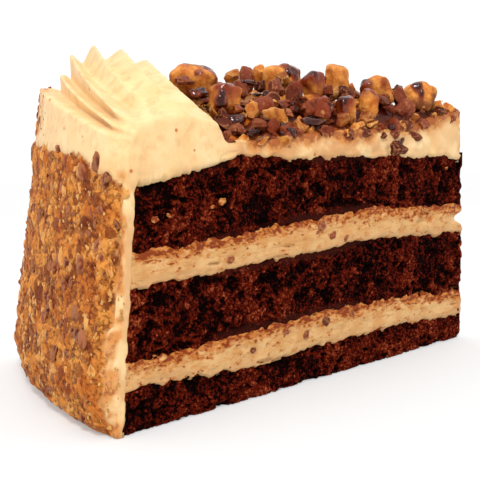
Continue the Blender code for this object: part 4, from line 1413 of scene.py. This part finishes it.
def new_lights(context):
    """The white world and the lamps."""
    world = bpy.data.worlds.new("studio")
    world.use_nodes = True
    sky = world.node_tree.nodes["Background"].inputs
    sky["Color"].default_value = (1.0, 1.0, 1.0, 1.0)
    sky["Strength"].default_value = WORLD_LIGHT
    context.scene.world = world
    context.scene.view_settings.view_transform = "Standard"
    for name, place, size, power in LAMPS:
        light = bpy.data.lights.new(name, "AREA")
        light.size = size
        light.energy = power
        lamp = bpy.data.objects.new(name, light)
        lamp.location = place
        aim = LAMP_TARGET - lamp.location
        lamp.rotation_euler = aim.to_track_quat("-Z", "Y").to_euler()
        context.scene.collection.objects.link(lamp)


def new_camera(context):
    """The camera, where the photo was taken from."""
    lens = bpy.data.cameras.new("camera")
    lens.lens = CAMERA_LENS
    lens.sensor_width = CAMERA_SENSOR
    lens.clip_start = 0.01
    camera = bpy.data.objects.new("camera", lens)
    tilt = Matrix.Rotation(math.radians(90.0 - CAMERA_PITCH), 4, "X")
    roll = Matrix.Rotation(math.radians(CAMERA_ROLL), 4, "Z")
    aim = Matrix.Rotation(math.radians(-CAMERA_YAW), 4, "Z") @ tilt @ roll
    camera.matrix_world = Matrix.Translation(CAMERA_FROM_TIP + Vector((TIP, 0.0, 0.0))) @ aim
    context.scene.collection.objects.link(camera)
    context.scene.camera = camera


# Settings and steps


def shade(text, name, description):
    """A colour that a user can change."""
    return bpy.props.FloatVectorProperty(
        name=name,
        description=description,
        subtype="COLOR",
        size=4,
        min=0.0,
        max=1.0,
        default=linear(text),
    )


def length(value, name, description):
    """A length that a user can change."""
    return bpy.props.FloatProperty(
        name=name,
        description=description,
        unit="LENGTH",
        min=0.0,
        precision=5,
        default=value,
    )


class SliceSizes(bpy.types.PropertyGroup):
    """Sizes that set how coarse or fine the slice looks"""

    crumb_size: length(1.1 * MM, "Crumb size", "Distance between the grains of the torn sponge")
    tear_depth: length(1.5 * MM, "Tear depth", "Depth of the larger tears in the sponge")
    sponge_step: length(0.31 * MM, "Sponge step", "Distance between corners on the sponge's cut")
    cream_step: length(0.42 * MM, "Cream step", "Distance between corners on the filling's cut")
    streak_depth: length(0.1 * MM, "Streak depth", "Depth of the fine lines that the tube left")
    knife_round: length(1.1 * MM, "Knife rounding", "Radius of the frosting's edge at the cut")


class SliceColours(bpy.types.PropertyGroup):
    """Colours of the slice, each as it looks in plain white light, with a few that carry painted
    shade and a painted highlight
    """

    sponge_body: shade("#661706", "Sponge", "Most of the sponge")
    # Grain colour carries a painted highlight; pore colour is painted shade as well as moist crumb
    sponge_grain_and_highlight: shade("#C4643A", "Sponge grains", "Raised grains of crumb")
    sponge_pore_shade: shade("#0A0101", "Sponge pores", "Inside of the pores")
    sponge_crust: shade("#3A130C", "Sponge crust", "Dense, greyish skin of a layer")
    cream_light: shade("#E0B57C", "Cream, light", "Lightest parts of the filling")
    cream_body: shade("#D39A5E", "Cream", "Most of the filling")
    cream_shade: shade("#C48A48", "Cream lines", "Lines dragged by the knife")
    cream_soaked: shade("#CCA070", "Soaked cream", "Cream next to moist sponge")
    crumb_stain: shade("#C06C22", "Crumb stain", "Cream stained by sponge")
    crumb_smear: shade("#82300C", "Crumb smear", "Fine sponge crumb in the cream")
    frosting_light: shade("#F6D6A0", "Frosting, light", "Lightest parts of the frosting")
    frosting_body: shade("#F1C88C", "Frosting", "Most of the frosting")
    # Warm patches of the frosting, and the colour of its painted shade
    frosting_warm_and_shade: shade("#DBA36A", "Frosting, warm", "Warmer patches of the frosting")
    peanut_speck: shade("#C9702F", "Peanut specks", "Specks of ground peanut")
    candy_stain: shade("#D68C42", "Candy stain", "Frosting stained by peanut candy")
    fudge_stain: shade("#9A4A1A", "Fudge stain", "Frosting stained by fudge")
    coat_gold: shade("#E29442", "Coat, gold", "Golden grains of the crumb coat")
    coat_body: shade("#C46C28", "Coat", "Most of the crumb coat")
    coat_brown: shade("#6C2408", "Coat, brown", "Brown grains of the crumb coat")
    coat_pale: shade("#E4AC68", "Coat, pale", "Pale grains of the crumb coat")
    # Painted shade in the seams between the grains
    coat_seam_shade: shade("#401606", "Coat seams", "Seams between the grains")
    peanut_body: shade("#E89C46", "Peanut candy", "Chopped peanut butter candy")
    peanut_deep: shade("#C0641A", "Peanut candy, deep", "Darker peanut butter candy")
    # Caramel colour, also the painted shade low down on each chunk
    peanut_caramel_shade: shade("#6A300E", "Peanut candy, caramel", "Where light goes deep into it")
    peanut_pale: shade("#E8B068", "Peanut candy, pale", "Crumbled edges of the candy")
    chocolate_body: shade("#8A4028", "Milk chocolate", "Chopped milk chocolate")
    chocolate_deep: shade("#501A0A", "Milk chocolate, deep", "Darker milk chocolate")
    chocolate_pale: shade("#BE7C50", "Milk chocolate, pale", "Chipped edges of the chocolate")
    fudge_body: shade("#3A0C04", "Fudge", "Thick fudge")
    fudge_thin: shade("#82300F", "Thin fudge", "Fudge where it lies thin")
    floor_light: shade("#CECECE", "Floor", "Studio sweep")
    floor_shade: shade("#C9C9C9", "Floor, shaded", "Faint mottling of the sweep")


class SLICE_OT_sponge(bpy.types.Operator):
    """Build the three layers of sponge"""

    bl_idname = "slice.sponge"
    bl_label = "Sponge Layers"

    def execute(self, context):
        sponge_layer(context, "sponge_bottom", "cake_layer_bottom", "base", "bottom_top", 36)
        sponge_layer(context, "sponge_middle", "cake_layer_middle", "middle_base", "middle_top", 66)
        sponge_layer(context, "sponge_top", "cake_layer_top", "top_base", "top_top", 62)
        return {"FINISHED"}


class SLICE_OT_cream(bpy.types.Operator):
    """Build the two fillings"""

    bl_idname = "slice.cream"
    bl_label = "Fillings"

    def execute(self, context):
        cream_layer(context, "cream_lower", "filling_lower", "bottom_top", "middle_base", 30)
        cream_layer(context, "cream_upper", "filling_upper", "middle_top", "top_base", 30)
        return {"FINISHED"}


class SLICE_OT_frosting(bpy.types.Operator):
    """Build the frosting with its piped border"""

    bl_idname = "slice.frosting"
    bl_label = "Frosting"

    def execute(self, context):
        frosting(context)
        return {"FINISHED"}


class SLICE_OT_coat(bpy.types.Operator):
    """Build the crumb coat on the side"""

    bl_idname = "slice.coat"
    bl_label = "Crumb Coat"

    def execute(self, context):
        crumb_coat(context)
        coat_bits(context)
        frosting_bits(context)
        return {"FINISHED"}


class SLICE_OT_cut_bits(bpy.types.Operator):
    """Set the small candy and the flecks of cream in the cuts"""

    bl_idname = "slice.cut_bits"
    bl_label = "Bits in the Cuts"

    def execute(self, context):
        cut_bits(context)
        return {"FINISHED"}


class SLICE_OT_heap(bpy.types.Operator):
    """Build the bed of small candy"""

    bl_idname = "slice.heap"
    bl_label = "Candy Heap"

    def execute(self, context):
        heap_bed(context)
        edge_bits(context)
        heap_bits(context)
        heap_pieces(context)
        return {"FINISHED"}


class SLICE_OT_chunks(bpy.types.Operator):
    """Build the large pieces of candy and the fudge on them"""

    bl_idname = "slice.chunks"
    bl_label = "Candy Chunks"

    def execute(self, context):
        for index, node in enumerate(chunk_names()):
            chunk(context, node, index)
        return {"FINISHED"}


class SLICE_OT_stage(bpy.types.Operator):
    """Set up the sweep, the lights and the camera"""

    bl_idname = "slice.stage"
    bl_label = "Stage"

    def execute(self, context):
        new_sweep(context)
        new_lights(context)
        new_camera(context)
        return {"FINISHED"}


class SLICE_PT_panel(bpy.types.Panel):
    """Lists the slice's settings and steps"""

    bl_idname = "SLICE_PT_panel"
    bl_label = "Cake Slice"
    bl_space_type = "VIEW_3D"
    bl_region_type = "UI"
    bl_category = "Cake"

    def draw(self, context):
        for group in (context.scene.slice_sizes, context.scene.slice_colours):
            column = self.layout.column()
            for name in group.bl_rna.properties.keys():
                if name not in ("name", "rna_type"):
                    column.prop(group, name)
        for step in STEPS:
            self.layout.operator(step.bl_idname)


STEPS = (
    SLICE_OT_stage,
    SLICE_OT_sponge,
    SLICE_OT_cream,
    SLICE_OT_frosting,
    SLICE_OT_coat,
    SLICE_OT_cut_bits,
    SLICE_OT_heap,
    SLICE_OT_chunks,
)
CLASSES = (SliceSizes, SliceColours, *STEPS, SLICE_PT_panel)


def register():
    """Makes the settings, steps and panel known."""
    for item in CLASSES:
        bpy.utils.register_class(item)
    bpy.types.Scene.slice_sizes = bpy.props.PointerProperty(type=SliceSizes)
    bpy.types.Scene.slice_colours = bpy.props.PointerProperty(type=SliceColours)


def unregister():
    """Takes them away again."""
    del bpy.types.Scene.slice_colours
    del bpy.types.Scene.slice_sizes
    for item in reversed(CLASSES):
        bpy.utils.unregister_class(item)


def main():
    """Builds the slice and its stage."""
    register()
    for step in STEPS:
        family, name = step.bl_idname.split(".")
        getattr(getattr(bpy.ops, family), name)()


if __name__ == "__main__":
    main()
